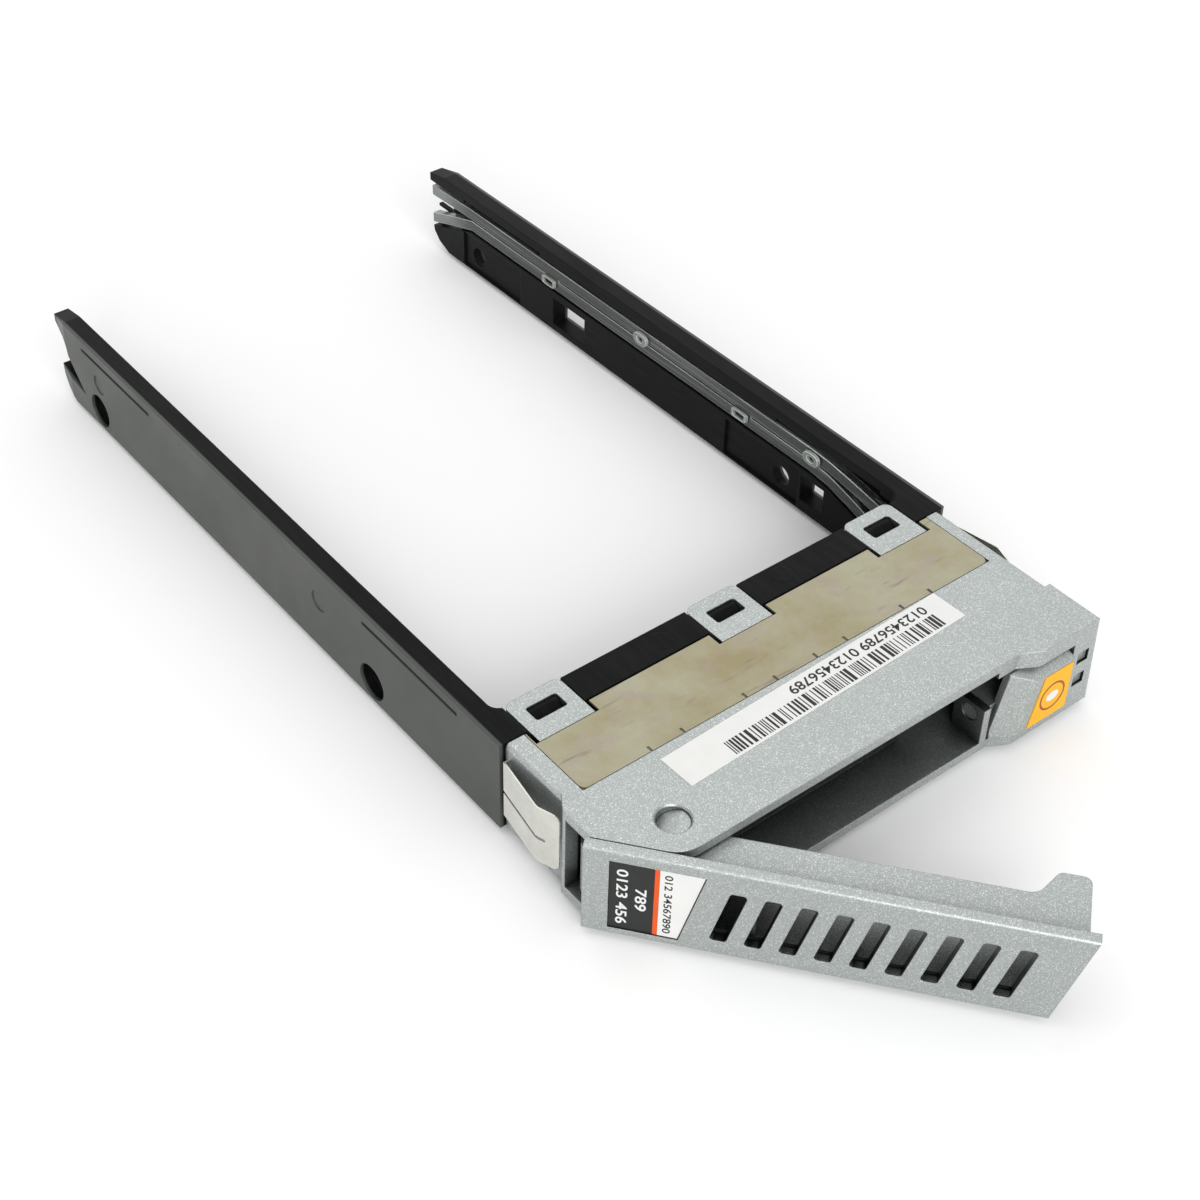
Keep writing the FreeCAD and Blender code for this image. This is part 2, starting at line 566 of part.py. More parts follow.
    # flex slits, screw holes with seats, ejector marks, reliefs inside
    for middle in ("slit_front_y", "slit_rear_y"):
        cut_prism(frame, "YZ", "-half_width - beyond", "half_width + beyond",
                  box("%s - slit_length / 2" % middle, "%s + slit_length / 2" % middle,
                      flange_under, "%s + slit_gap" % flange_under))
    for place, near, far in (("screw_y", "panel_short", "panel_long"),
                             ("screw_y + screw_pitch", "panel_long", "panel_short")):
        cut_round(frame, "YZ", "-half_width - beyond", "half_width + beyond", (place, "screw_height"),
                  "screw_hole")
        relief = box("%s - %s" % (place, near), "%s + %s" % (place, far), "panel_low", "panel_top")
        for low, high in (("half_width - screw_seat_depth", "half_width + beyond"),
                          ("-half_width - beyond", "-half_width + screw_seat_depth")):
            cut_round(frame, "YZ", low, high, (place, "screw_height"), "screw_seat")
        for low, high in (("half_width - rail_wall - beyond", "half_width - rail_wall + panel_depth"),
                          ("-half_width + rail_wall - panel_depth", "-half_width + rail_wall + beyond")):
            cut_prism(frame, "YZ", low, high, relief)
    for place in ("ejector_front_y", "ejector_rear_y"):
        for low, high in (("half_width - ejector_depth", "half_width + beyond"),
                          ("-half_width - beyond", "-half_width + ejector_depth")):
            cut_round(frame, "YZ", low, high, (place, "ejector_height"), "ejector_radius")
    # side windows of the right rail
    cut_prism(frame, "YZ", "half_width - rail_wall - beyond", "half_width + beyond",
              box("window_rear_y - window_rear_length / 2", "window_rear_y + window_rear_length / 2",
                  "window_rear_sill", "window_rear_top"))
    cut_prism(frame, "YZ", "half_width - rail_wall - beyond", "half_width + beyond",
              box("window_front_y - window_front_length / 2", "window_front_y + window_front_length / 2",
                  "window_front_sill", "ledge_height - window_front_lintel"))
    return frame


# ---------------------------------------------------------------------------------------------
# Bezel: one casting
# ---------------------------------------------------------------------------------------------
def make_bezel():
    bezel = new_body("bezel")
    pivot_x = "(pivot_inset - half_width)"
    # the nose round the pivot clears the inside of the lever's face
    nose = "(pivot_y - plate - fit_gap)"
    front_edge = "plate + fit_gap"
    touch_x = "(%s - %s * sin(open_angle))" % (pivot_x, nose)
    touch_y = "(pivot_y - %s * cos(open_angle))" % nose
    cheek = "half_width + side_bulge"
    chamfer_end = "%s + (%s + %s) * tan(open_angle)" % (touch_y, cheek, touch_x)
    inner_top = "caddy_height - plate"
    add_prism(bezel, "XY", "0", "caddy_height", [
        (pivot_x, front_edge), ("half_width", front_edge), ("half_width", "cheek_right_y"),
        ("half_width - side_step_right", "shoulder_right_y"), ("half_width - side_step_right", "bezel_back"),
        ("side_step_left - half_width", "bezel_back"),
        ("side_step_left - half_width", "cheek_left_y + cheek_run"), ("-(%s)" % cheek, "cheek_left_y"),
        ("-(%s)" % cheek, chamfer_end), (touch_x, touch_y)])
    add_round(bezel, "XY", "0", "caddy_height", (pivot_x, "pivot_y"), nose)

    # face: the knee and the slanted facet lean to the right towards the top
    knee = "half_width - knee_inset"
    lower = outline(bezel, "XY", "0", [
        ("%s - facet_run" % knee, front_edge), (knee, "0"), ("half_width", "0"),
        ("half_width", "%s + beyond" % front_edge), ("%s - facet_run" % knee, "%s + beyond" % front_edge)])
    upper = outline(bezel, "XY", "caddy_height", [
        ("%s - facet_run + lean * caddy_height" % knee, front_edge),
        ("%s + lean * caddy_height" % knee, "0"),
        ("half_width", "0"), ("half_width", "%s + beyond" % front_edge),
        ("%s - facet_run + lean * caddy_height" % knee, "%s + beyond" % front_edge)])
    face = bezel.newObject("PartDesign::AdditiveLoft", "bezel_face")
    face.Profile = lower
    face.Sections = [upper]
    face.Ruled = True
    doc.recompute()

    # lever cavity, round clearance of the claw, open left side, window for the lever's tab
    bracket = "half_width - pocket_inset - bracket_wall"
    cut_prism(bezel, "XY", "plate", inner_top, box(pivot_x, bracket, "-beyond", "cavity_back"))
    cut_round(bezel, "XY", "plate", inner_top, (pivot_x, "pivot_y"), "claw_radius + claw_room")
    cut_prism(bezel, "XY", "plate", inner_top,
              box("-half_width - 2 * beyond", "side_wall - %s" % cheek, "-beyond", "side_open_y"))
    cut_prism(bezel, "XY", "bracket_top", inner_top,
              box("%s - beyond" % bracket, "half_width - pocket_inset + bite", "-beyond", "cavity_back"))
    cut_prism(bezel, "XY", "plate", inner_top,
              box("%s + tab_window" % pivot_x, "half_width - pocket_inset - slack",
                  "cavity_back - beyond", "cavity_back + partition + beyond"))
    # rear hollow, which takes the crossbar's tongue
    hollow_front = "cavity_back + partition"
    hollow_start = "pivot_y + claw_radius + claw_wall"
    cut_prism(bezel, "XY", "plate", inner_top, [
        ("side_step_left + side_wall - half_width", hollow_start),
        ("%s + claw_radius + claw_wall" % pivot_x, hollow_start),
        ("%s + claw_radius + claw_wall" % pivot_x, hollow_front),
        ("half_width - side_step_right - beyond", hollow_front),
        ("half_width - side_step_right - beyond", "bezel_back + beyond"),
        ("side_step_left + side_wall - half_width", "bezel_back + beyond")])
    # button pocket, with its bearings, and the room for its tail arm
    pocket_left = "half_width - pocket_inset"
    pocket_right = "half_width - button_inset + fit_gap"
    cut_prism(bezel, "XY", "plate", "caddy_height - brow", box(pocket_left, pocket_right, "-beyond",
                                                               "cavity_back"))
    cut_prism(bezel, "XY", "plate", "tooth_top + tooth_room",
              box("%s + tab_window + tooth_room" % pivot_x, "half_width - pocket_inset + tail_room",
                  "button_pivot_y + block_half + beyond", "cavity_back + partition + beyond"))
    cut_round(bezel, "YZ", "%s - beyond" % bracket, "half_width - button_inset + stub_hole",
              ("button_pivot_y", "button_pivot_z"), "stub_radius + bearing_gap")

    # light windows and the passage of the light pipes behind them
    led = "half_width - led_inset"
    tongue = "half_width - tongue_inset"
    for sill in ("led_upper", "led_lower"):
        cut_prism(bezel, "XZ", "-beyond", "2 * led_wall",
                  box(led, "%s + led_width" % led, sill, "%s + led_height" % sill))
    cut_prism(bezel, "XY", "led_lower - fit_gap", "led_upper + led_height + fit_gap", [
        ("%s - slack" % led, "led_wall"), ("%s + led_width + slack" % led, "led_wall"),
        ("%s + led_width + slack" % led, "cheek_right_y - 5 * slack"),
        ("half_width - side_step_right - beyond", "shoulder_right_y - beyond"),
        ("half_width - side_step_right - beyond", "shoulder_right_y + beyond"),
        ("%s + slack" % tongue, "shoulder_right_y + beyond"),
        ("%s + slack" % tongue, "cavity_back + partition"), ("%s - slack" % led, "cavity_back")])

    # bearings of the lever
    cut_round(bezel, "XY", "-beyond", "caddy_height + beyond", (pivot_x, "pivot_y"),
              "trunnion + bearing_gap")

    # seat of the contact plate
    cut_prism(bezel, "XY", "caddy_height - contact_sheet", "caddy_height + beyond",
              box("contact_inset - half_width - slack", "half_width - contact_inset + slack",
                  "contact_front - slack", "bezel_back"))
    # snap tabs behind the top plate, with their windows and side slots
    for middle in TABS:
        low, high = "%s - tab_half" % middle, "%s + tab_half" % middle
        add_prism(bezel, "XY", inner_top, "caddy_height",
                  box(low, high, "bezel_back - tab_slot_depth + slack", "bezel_back + tab_reach"))
        cut_prism(bezel, "XY", "%s - bite" % inner_top, "caddy_height + beyond",
                  box("%s + catch_margin" % low, "%s - catch_margin" % high, "catch_front", "catch_back"))
        for slot in (("%s - tab_slot" % low, low), (high, "%s + tab_slot" % high)):
            cut_prism(bezel, "XY", "%s - bite" % inner_top, "caddy_height + beyond",
                      box(slot[0], slot[1], "bezel_back - tab_slot_depth", "bezel_back + bite"))
    half, margin = size("tab_half"), size("catch_margin")
    middles = (size("tab_left") - size("half_width"), 0, size("half_width") - size("tab_right"))
    rear = size("bezel_back") + size("tab_reach")
    soften(bezel, "Z", [(middle + side * half, rear) for middle in middles for side in (-1, 1)], "tab_round")
    soften(bezel, "Z", [(middle + side * (half - margin), end) for middle in middles for side in (-1, 1)
                        for end in (size("catch_front"), size("catch_back"))], "catch_round")

    # right cheek leans in; behind the step the top plate is narrower
    cut_prism(bezel, "XZ", "-beyond", "shoulder_right_y", [
        ("half_width", "0"), ("half_width + beyond", "0"), ("half_width + beyond", "caddy_height + beyond"),
        ("half_width - side_draft", "caddy_height + beyond")])
    cut_prism(bezel, "XY", "led_upper + led_height + 2 * bite", "caddy_height + beyond",
              box("half_width - side_step_right", "half_width + beyond", "top_step_y",
                  "bezel_back + beyond"))
    # slots in the side walls for the roots of the side springs
    for sign, step in (("-", "side_step_left"), ("", "side_step_right")):
        wall = "half_width - %s" % step
        sides = ("%s(%s - spring_anchor)" % (sign, wall), "%s(%s + 1)" % (sign, wall))
        cut_prism(bezel, "XY", "spring_low", "caddy_height - spring_top",
                  box(sides[0], sides[1], "spring_root_y", "spring_root_y + spring_sheet"))
    # rounded rims beside the contact plate, bevelled rim of the pivot hole
    height = size("caddy_height")
    soften(bezel, "Y", [(size("side_step_left") - size("half_width"), height),
                        (size("half_width") - size("side_step_right"), height)], "rim_round")
    soften_ring(bezel, (size("pivot_inset") - size("half_width"), size("pivot_y"), height),
                size("trunnion") + size("bearing_gap"), "hole_bevel")

    # seat of the finger strip on the underside
    strip_half = "finger_count * finger_pitch / 2"
    cut_prism(bezel, "XY", "-beyond", "spring_sheet",
              box("-(%s) - slack" % strip_half, "%s + slack" % strip_half,
                  "finger_y - strip_reach - slack", "finger_y + strip_reach + slack"))
    return bezel


# ---------------------------------------------------------------------------------------------
# Lever: one casting, drawn closed about its pivot and then swung open
# ---------------------------------------------------------------------------------------------
def swing_open(piece):
    """Puts a piece that is drawn about the lever's pivot into the open position."""
    place = FreeCAD.Placement(FreeCAD.Vector(0, 0, 0), FreeCAD.Rotation(FreeCAD.Vector(0, 0, 1), 0))
    piece.Placement = place
    piece.setExpression("Placement.Base.x", bound("pivot_inset - half_width"))
    piece.setExpression("Placement.Base.y", bound("pivot_y"))
    piece.setExpression("Placement.Rotation.Angle", bound("-open_angle"))
    doc.recompute()


def make_lever():
    lever = new_body("lever")
    inner_face = "(plate - pivot_y)"
    slant = "lever_right + lean * %s"
    add_prism(lever, "XZ", "-pivot_y", inner_face, [
        ("-lever_left", "0"), ("lever_right", "0"), (slant % "caddy_height", "caddy_height"),
        ("-lever_left", "caddy_height")])
    # long edges of the face
    face, height = -size("pivot_y"), size("caddy_height")
    soften(lever, "X", [(face, height), (face, 0)], "lever_round")
    # vents
    vent_lean = "lean * (caddy_height - vent_top - vent_low)"
    first = cut_prism(lever, "XZ", "-pivot_y - beyond", "%s + beyond" % inner_face, [
        ("vent_start", "vent_low"), ("vent_start + vent_width", "vent_low"),
        ("vent_start + vent_width + %s" % vent_lean, "caddy_height - vent_top"),
        ("vent_start + %s" % vent_lean, "caddy_height - vent_top")])
    repeat(lever, first, "X_Axis", "(vent_count - 1) * vent_pitch", "vent_count")
    rise = (size("caddy_height") - size("vent_top")) - size("vent_low")
    across = size("lean") * rise
    corners = [(size("vent_start") + number * size("vent_pitch") + side * size("vent_width") + up * across,
                size("vent_low") + up * rise)
               for number in range(int(size("vent_count"))) for side in (0, 1) for up in (0, 1)]
    soften(lever, "Y", corners, "vent_round")
    low_flange = "plate + flange_gap"
    high_flange = "caddy_height - plate - flange_gap - flange"
    # lower flange
    add_prism(lever, "XY", low_flange, "%s + flange" % low_flange, [
        ("-hub_radius", inner_face), ("lever_right - fit_gap", inner_face),
        ("lever_right - fit_gap", "flange_back - flange_corner"),
        ("lever_right - fit_gap - flange_corner", "flange_back"),
        ("0", "flange_back"), ("-hub_radius", "0")])
    # upper flange, with the tab that reaches into the bezel
    add_prism(lever, "XY", high_flange, "%s + flange" % high_flange, [
        ("-hub_radius", inner_face), ("tab_end", inner_face),
        ("tab_end", "tab_height"), ("tab_crest", "tab_height"), ("tab_start", "flange_back"),
        ("0", "flange_back"), ("-hub_radius", "0")])
    soften(lever, "Z", [(size("tab_start"), size("flange_back"))], "tab_foot_round")
    soften(lever, "Z", [(size("tab_crest"), size("tab_height")), (size("tab_end"), size("tab_height"))],
           "tab_crest_round")
    for low in (low_flange, high_flange):
        add_round(lever, "XY", low, "%s + flange" % low, ("0", "0"), "hub_radius")
    add_round(lever, "XY", low_flange, "%s + flange" % high_flange, ("0", "0"), "post_radius")
    # trunnions
    add_round(lever, "XY", "trunnion_inset", "caddy_height - trunnion_inset", ("0", "0"), "trunnion")
    summit = "caddy_height - trunnion_inset"
    cut_prism(lever, "XZ", "-trunnion - bite", "trunnion + bite", [
        ("-trunnion - fit_gap", "%s - trunnion_lead" % summit), ("trunnion / 3", summit),
        ("trunnion / 3", "%s + beyond" % summit), ("-trunnion - fit_gap", "%s + beyond" % summit)])
    # claw
    add_prism(lever, "XY", "claw_low", "caddy_height - claw_top", [
        ("-hub_radius + fit_gap", "%s - bite" % inner_face),
        ("-lever_left + bite", "%s - bite" % inner_face)]
        + [(str(across), str(along)) for across, along in CLAW])
    # ribs between the flanges
    for place in ("rib_first", "rib_first + rib_pitch", "rib_first + 2 * rib_pitch"):
        add_prism(lever, "XY", low_flange, "%s + flange" % high_flange,
                  box(place, "%s + rib_thick" % place, inner_face, "%s + rib_deep" % inner_face))
    # latch lug under the tab
    add_prism(lever, "XY", "lug_bottom", "%s + bite" % high_flange,
              box("lug_start", "lug_end", "tab_height - lug_thick", "tab_height"))
    # label pocket
    cut_prism(lever, "XZ", "-pivot_y - beyond", "label_depth - pivot_y", [
        ("label_margin - lever_left", "label_low"),
        ("label_margin - lever_left + label_length", "label_low"),
        ("label_margin - lever_left + label_length + lean * (caddy_height - label_top - label_low)",
         "caddy_height - label_top"),
        ("label_margin - lever_left", "caddy_height - label_top")])
    swing_open(lever)
    return lever


def make_lever_label():
    label = new_body("lever_label")
    margin = "label_margin - lever_left + slack"
    add_prism(label, "XZ", "label_depth - label_sheet - pivot_y", "label_depth - pivot_y", [
        (margin, "label_low + slack"), ("%s + label_length - 2 * slack" % margin, "label_low + slack"),
        ("%s + label_length - 2 * slack + lean * (caddy_height - label_top - label_low)" % margin,
         "caddy_height - label_top - slack"),
        (margin, "caddy_height - label_top - slack")])
    swing_open(label)
    return label


# ---------------------------------------------------------------------------------------------
# Release button: rocks about a cross axis, its tail arm carries the latch tooth
# ---------------------------------------------------------------------------------------------
def make_release_button():
    button = new_body("release_button")
    left = "half_width - pocket_inset + button_gap"
    right = "half_width - button_inset - slack"
    add_prism(button, "YZ", left, right, [
        ("-button_proud", "plate + button_gap + button_bevel"),
        ("-button_proud + button_bevel", "plate + button_gap"),
        ("button_back", "plate + button_gap"), ("button_back", "button_shoulder"),
        ("button_slope", "button_shoulder"),
        ("-button_proud", "button_brow")])
    # slanted facet at the left, in line with the bezel's facet
    facet = "half_width - knee_inset"
    sections = []
    for start, shift in (("-beyond", ""), ("caddy_height", " + lean * caddy_height")):
        outer, inner = "%s - facet_step%s" % (facet, shift), "%s - facet_run - facet_end%s" % (facet, shift)
        far = "%s - facet_room%s" % (facet, shift)
        sections.append(outline(button, "XY", start, [
            (far, "-3 * beyond"), (outer, "-3 * beyond"), (outer, "-button_proud"), (inner, "facet_deep"),
            (far, "facet_deep")]))
    loft = button.newObject("PartDesign::SubtractiveLoft", "button_facet")
    loft.Profile = sections[0]
    loft.Sections = sections[1:]
    loft.Ruled = True
    doc.recompute()
    # left edge leans like the other slanted lines
    foot = "plate + button_gap + button_foot"
    cut_prism(button, "XZ", "-button_proud - beyond", "button_back + beyond", [
        (left, foot), ("%s + lean * (caddy_height - %s)" % (left, "(%s)" % foot), "caddy_height"),
        ("%s - beyond" % left, "caddy_height"), ("%s - beyond" % left, foot)])
    # bearing block and stub trunnions
    add_prism(button, "YZ", left, right, [
        ("button_back - bite", "button_pivot_z - block_half"),
        ("button_pivot_y + block_half", "button_pivot_z - block_half"),
        ("button_pivot_y + block_half", "button_pivot_z + block_half"),
        ("button_back - bite", "button_pivot_z + block_half")])
    add_round(button, "YZ", "half_width - pocket_inset - bracket_wall + fit_gap",
              "half_width - button_inset + stub_reach",
              ("button_pivot_y", "button_pivot_z"), "stub_radius")
    # tail arm to the left, and its tooth
    pivot_x = "(pivot_inset - half_width)"
    add_prism(button, "XY", "arm_low", "arm_high", [
        (left, "button_pivot_y + beyond"), ("%s + arm_length" % left, "button_pivot_y + beyond"),
        ("%s + arm_length" % left, "tooth_back - arm_corner"),
        ("%s + arm_length - arm_corner" % left, "tooth_back"),
        ("%s + lug_start + fit_gap" % pivot_x, "tooth_back"),
        ("%s + lug_start + fit_gap" % pivot_x, "tooth_front"),
        ("half_width - pocket_inset - bracket_wall - bite", "tooth_front"),
        (left, "cavity_back - arm_slope")])
    add_prism(button, "YZ", "%s + lug_start + fit_gap" % pivot_x, "%s + lug_end + bite" % pivot_x, [
        ("tooth_front", "arm_high - bite"), ("tooth_back", "arm_high - bite"), ("tooth_back", "tooth_top"),
        ("tooth_back - tooth_flat", "tooth_top"), ("tooth_front", "arm_high + slack")])
    return button


def make_button_label():
    amber_high = "(button_brow - amber_margin)"
    label = new_body("button_label")
    add_prism(label, "XZ", "-button_proud - label_sheet", "-button_proud", [
        ("half_width - knee_inset + amber_left", "amber_low"),
        ("half_width - button_inset - amber_margin", "amber_low"),
        ("half_width - button_inset - amber_margin", amber_high),
        ("half_width - knee_inset + amber_left + lean * (%s - amber_low)" % amber_high, amber_high)])
    return label


# ---------------------------------------------------------------------------------------------
# Wire springs
# ---------------------------------------------------------------------------------------------
def wire_along(spine, radius, start):
    """A wire with a section of few flats, swept along a helix that starts on the X axis."""
    turns = [2 * math.pi * side / WIRE_FLATS for side in range(WIRE_FLATS + 1)]
    ring = Part.makePolygon([start + FreeCAD.Vector(radius * math.cos(turn), 0, radius * math.sin(turn))
                             for turn in turns])
    return Part.Wire(spine).makePipeShell([ring], True, True)


def make_button_spring():
    wire = size("coil_wire") / 2
    floor = size("plate")
    height = size("arm_low") - floor
    radius = size("coil_radius")
    rise = height - 2 * wire - 2 * size("play")
    helix = Part.makeHelix(rise / size("coil_turns"), rise, radius)
    start = FreeCAD.Vector(radius, 0, 0)
    coil = wire_along(helix, wire, start)
    piece = shaped("button_spring", coil)
    piece.Placement.Base = FreeCAD.Vector(size("coil_x"), size("coil_y"), floor + wire + size("play"))
    return piece


def make_lever_spring():
    wire = size("torsion_wire") / 2
    radius = size("torsion_radius")
    turns = size("torsion_turns")
    pitch = size("torsion_pitch")
    coil = wire_along(Part.makeHelix(pitch, pitch * turns, radius), wire, FreeCAD.Vector(radius, 0, 0))
    low_leg = Part.makeCylinder(wire, size("torsion_low_leg"), FreeCAD.Vector(radius, size("bite"), 0),
                                FreeCAD.Vector(0, -1, 0))
    end = math.radians(360 * (turns % 1))
    tip = FreeCAD.Vector(radius * math.cos(end), radius * math.sin(end), pitch * turns)
    along = FreeCAD.Vector(-math.sin(end), math.cos(end), 0)
    high_leg = Part.makeCylinder(wire, size("torsion_high_leg"), tip - along * size("bite"), along)
    shape = coil.fuse([low_leg, high_leg]).removeSplitter()
    piece = shaped("lever_spring", shape)
    turn = FreeCAD.Rotation(FreeCAD.Vector(0, 0, 1), -size("open_angle"))
    place = FreeCAD.Vector(size("pivot_inset") - size("half_width"), size("pivot_y"),
                           size("torsion_low") + wire)
    piece.Placement = FreeCAD.Placement(place, turn)
    return piece


# ---------------------------------------------------------------------------------------------
# Light guide: two pipes in the right rail, joined by small lugs
# ---------------------------------------------------------------------------------------------
def pipe_side(guide, window, level, end_level):
    """Side view of one pipe: from its window, up behind the crossbar, along the channel to the tail."""
    back = "rail_front + crossbar_depth"
    climb = "(%s - (%s))" % (level, window)
    line = [("pipe_recess", window)]
    line += [("%s + %s" % (back, behind), "%s + %s * %s" % (window, share, climb))
             for behind, share in PIPE_CLIMB]
    line += [("caddy_length - pipe_split", level),
             ("caddy_length - pipe_split / 2", "0.5 * (%s + %s)" % (level, end_level)),
             ("caddy_length - pipe_recess", end_level)]
    top = [(along, "%s + pipe_tall" % height) for along, height in reversed(line)]
    add_prism(guide, "YZ", "half_width - led_inset - 3 * beyond", "half_width", line + top)


def pipe_plan(guide, low, high):
    """Keeps only the pipes' path seen from above: window, step inside the bezel, rail channel."""
    rail_side = "half_width - rail_wall + channel_depth - slack"
    bezel_side = "half_width - side_step_right - beyond - slack - play"
    head_side = "half_width - led_inset + led_width - play"
    bar = "rail_front + crossbar_depth"
    outside = [(head_side, "-beyond"), (head_side, "cheek_right_y - turn_outer"),
               (bezel_side, "shoulder_right_y - beyond"),
               (bezel_side, "rail_front"), (rail_side, "%s + 3 * beyond" % bar),
               (rail_side, "caddy_length + beyond")]
    inner = "half_width - led_inset"
    inside = [("%s + play" % inner, "-beyond"), ("%s + play" % inner, "cheek_right_y - turn_inner"),
              ("%s - pipe_thick" % bezel_side, "shoulder_right_y - 2 * beyond"),
              ("%s - pipe_thick" % bezel_side, "rail_front + 2 * bite"),
              ("%s - pipe_thick" % rail_side, "%s + 3 * beyond + 2 * bite" % bar),
              ("%s - pipe_thick" % rail_side, "caddy_length + beyond")]
    cut_prism(guide, "XY", low, high, outside + [("half_width + 3 * beyond", "caddy_length + beyond"),
                                                 ("half_width + 3 * beyond", "-beyond")])
    cut_prism(guide, "XY", low, high, inside + [("%s - 5 * beyond" % inner, "caddy_length + beyond"),
                                                ("%s - 5 * beyond" % inner, "-beyond")])


def make_light_guide():
    guide = new_body("light_guide")
    lower = "ledge_height + pipe_lift"
    upper = "ledge_height + pipe_lift + pipe_tall + pipe_gap"
    pipe_side(guide, "led_lower + play", lower, "tail_lower")
    # lugs join the pipes; all of it is then cut to the path seen from above
    for place, length in LUGS:
        add_prism(guide, "YZ", "half_width - led_inset - 3 * beyond", "half_width", box(
            "%s - %s / 2" % (place, length), "%s + %s / 2" % (place, length),
            "%s + slack" % lower, "%s + pipe_tall - slack" % upper))
    pipe_side(guide, "led_upper + play", upper, "tail_upper")
    pipe_plan(guide, "-beyond", "caddy_height + beyond")
    return guide


# ---------------------------------------------------------------------------------------------
# Spring sheets and the contact plate
# ---------------------------------------------------------------------------------------------
def make_side_spring(label, sign, wall):
    """A leaf bent to a shallow V: its root is hooked into the bezel's side, its tip is free."""
    spring = new_body(label)

    def out(distance):
        return "%s(half_width + %s)" % (sign, distance)

    anchor = "%s(half_width - %s - spring_anchor)" % (sign, wall)
    add_prism(spring, "XY", "spring_low", "caddy_height - spring_top", [
        (anchor, "spring_root_y"), (out("spring_root - spring_sheet"), "spring_root_y"),
        (out("spring_crest - spring_sheet"), "spring_crest_y"), (out("spring_tip - spring_sheet"),
                                                                 "spring_tip_y"),
        (out("spring_tip"), "spring_tip_y"), (out("spring_crest"), "spring_crest_y"),
        (out("spring_root"), "spring_root_y + spring_sheet"), (anchor, "spring_root_y + spring_sheet")])
    side = -1 if sign else 1
    crest = size("half_width") + size("spring_crest")
    across, along = side * crest, size("spring_crest_y")
    soften(spring, "Z", [(across, along)], "spring_bend + spring_sheet")
    soften(spring, "Z", [(across - side * size("spring_sheet"), along)], "spring_bend")
    for edge, up in (("(caddy_height - spring_top)", "+"), ("spring_low", "-")):
        down = "-" if up == "+" else "+"
        corner = [("spring_tip_y + spring_corner * (1 - cos(%s deg))" % turn,
                   "%s %s spring_corner * (1 - sin(%s deg))" % (edge, down, turn)) for turn in range(0,
                                                                                                     91, 18)]
        cut_prism(spring, "YZ", "-2 * half_width", "2 * half_width", corner + [
            ("spring_tip_y + spring_corner", "%s %s beyond" % (edge, up)),
            ("spring_tip_y - beyond", "%s %s beyond" % (edge, up)),
            ("spring_tip_y - beyond", "%s %s spring_corner" % (edge, down))])
    cut_prism(spring, "YZ", "-2 * half_width", "2 * half_width",
              box("spring_slit_y", "spring_root_y + beyond", "spring_slit_low",
                  "spring_slit_low + spring_slit"))
    return spring


def make_contact_plate():
    plate = new_body("emi_contact_plate")
    add_prism(plate, "XY", "caddy_height - contact_sheet", "caddy_height",
              box("contact_inset - half_width", "half_width - contact_inset", "contact_front",
                  "bezel_back - slack"))
    half = (size("half_width") - size("contact_inset"))
    front = size("contact_front")
    soften(plate, "Z", [(half, front), (-half, front)], "1.0")
    for middle in TABS:
        low, high = "%s - tab_half" % middle, "%s + tab_half" % middle
        cut_prism(plate, "XY", "0", "caddy_height + beyond",
                  box("%s - tab_slot" % low, "%s + tab_slot" % high, "bezel_back - tab_slot_depth",
                      "bezel_back + beyond"))
    for place in ("-prong_outer", "-prong_inner", "prong_inner", "prong_outer"):
        for side in ("-prong_half", "prong_half - prong_slit"):
            cut_prism(plate, "XY", "0", "caddy_height + beyond",
                      box("%s + %s" % (place, side), "%s + %s + prong_slit" % (place, side),
                          "contact_front - beyond", "contact_front + contact_notch"))
    return plate


def make_finger_strip():
    """A flat strip let into the underside, with a row of fingers bowed down."""
    strip = new_body("emi_finger_strip")
    half = "(finger_count * finger_pitch / 2)"
    centre = ("finger_y", "finger_radius - finger_rise")
    add_round(strip, "YZ", "-%s" % half, half, centre, "finger_radius")
    cut_round(strip, "YZ", "-%s - beyond" % half, "%s + beyond" % half, centre,
              "finger_radius - spring_sheet")
    cut_prism(strip, "YZ", "-%s - beyond" % half, "%s + beyond" % half,
              box("finger_y - finger_radius - beyond", "finger_y + finger_radius + beyond", "0",
                  "2 * finger_radius"))
    slot = cut_prism(strip, "XY", "-finger_rise - beyond", "1", box(
        "finger_gap / 2 - %s + finger_pitch - finger_gap" % half,
        "finger_gap / 2 - %s + finger_pitch" % half,
        "finger_y - slot_reach", "finger_y + slot_reach"))
    repeat(strip, slot, "X_Axis", "(finger_count - 2) * finger_pitch", "finger_count - 1")
    for near, far in (("finger_y - strip_reach", "finger_y - strip_inner"),
                      ("finger_y + strip_inner", "finger_y + strip_reach")):
        add_prism(strip, "XY", "0", "spring_sheet", box("-%s" % half, half, near, far))
    return strip


def make_top_label():
    label = doc.addObject("Part::Box", "top_label")
    label.Label = "top_label"
    label.setExpression("Length", bound("top_label_length"))
    label.setExpression("Width", bound("top_label_width"))
    label.setExpression("Height", bound("label_sheet"))
    turn = math.radians(size("top_label_turn"))
    half_length = size("top_label_length") / 2
    half_width = size("top_label_width") / 2
    corner_x = -half_length * math.cos(turn) + half_width * math.sin(turn)
    corner_y = -half_length * math.sin(turn) - half_width * math.cos(turn)
    label.Placement = FreeCAD.Placement(
        FreeCAD.Vector(corner_x, size("top_label_y") + corner_y, size("caddy_height")),
        FreeCAD.Rotation(FreeCAD.Vector(0, 0, 1), size("top_label_turn")))
    pieces.append(label)
    doc.recompute()
    return label


make_rail_frame()
make_bezel()
make_lever()
make_lever_label()
make_release_button()
make_button_label()
make_button_spring()
make_lever_spring()
make_light_guide()
make_side_spring("emi_spring_left", "-", "side_step_left")
make_side_spring("emi_spring_right", "", "side_step_right")
make_contact_plate()
make_finger_strip()
make_top_label()

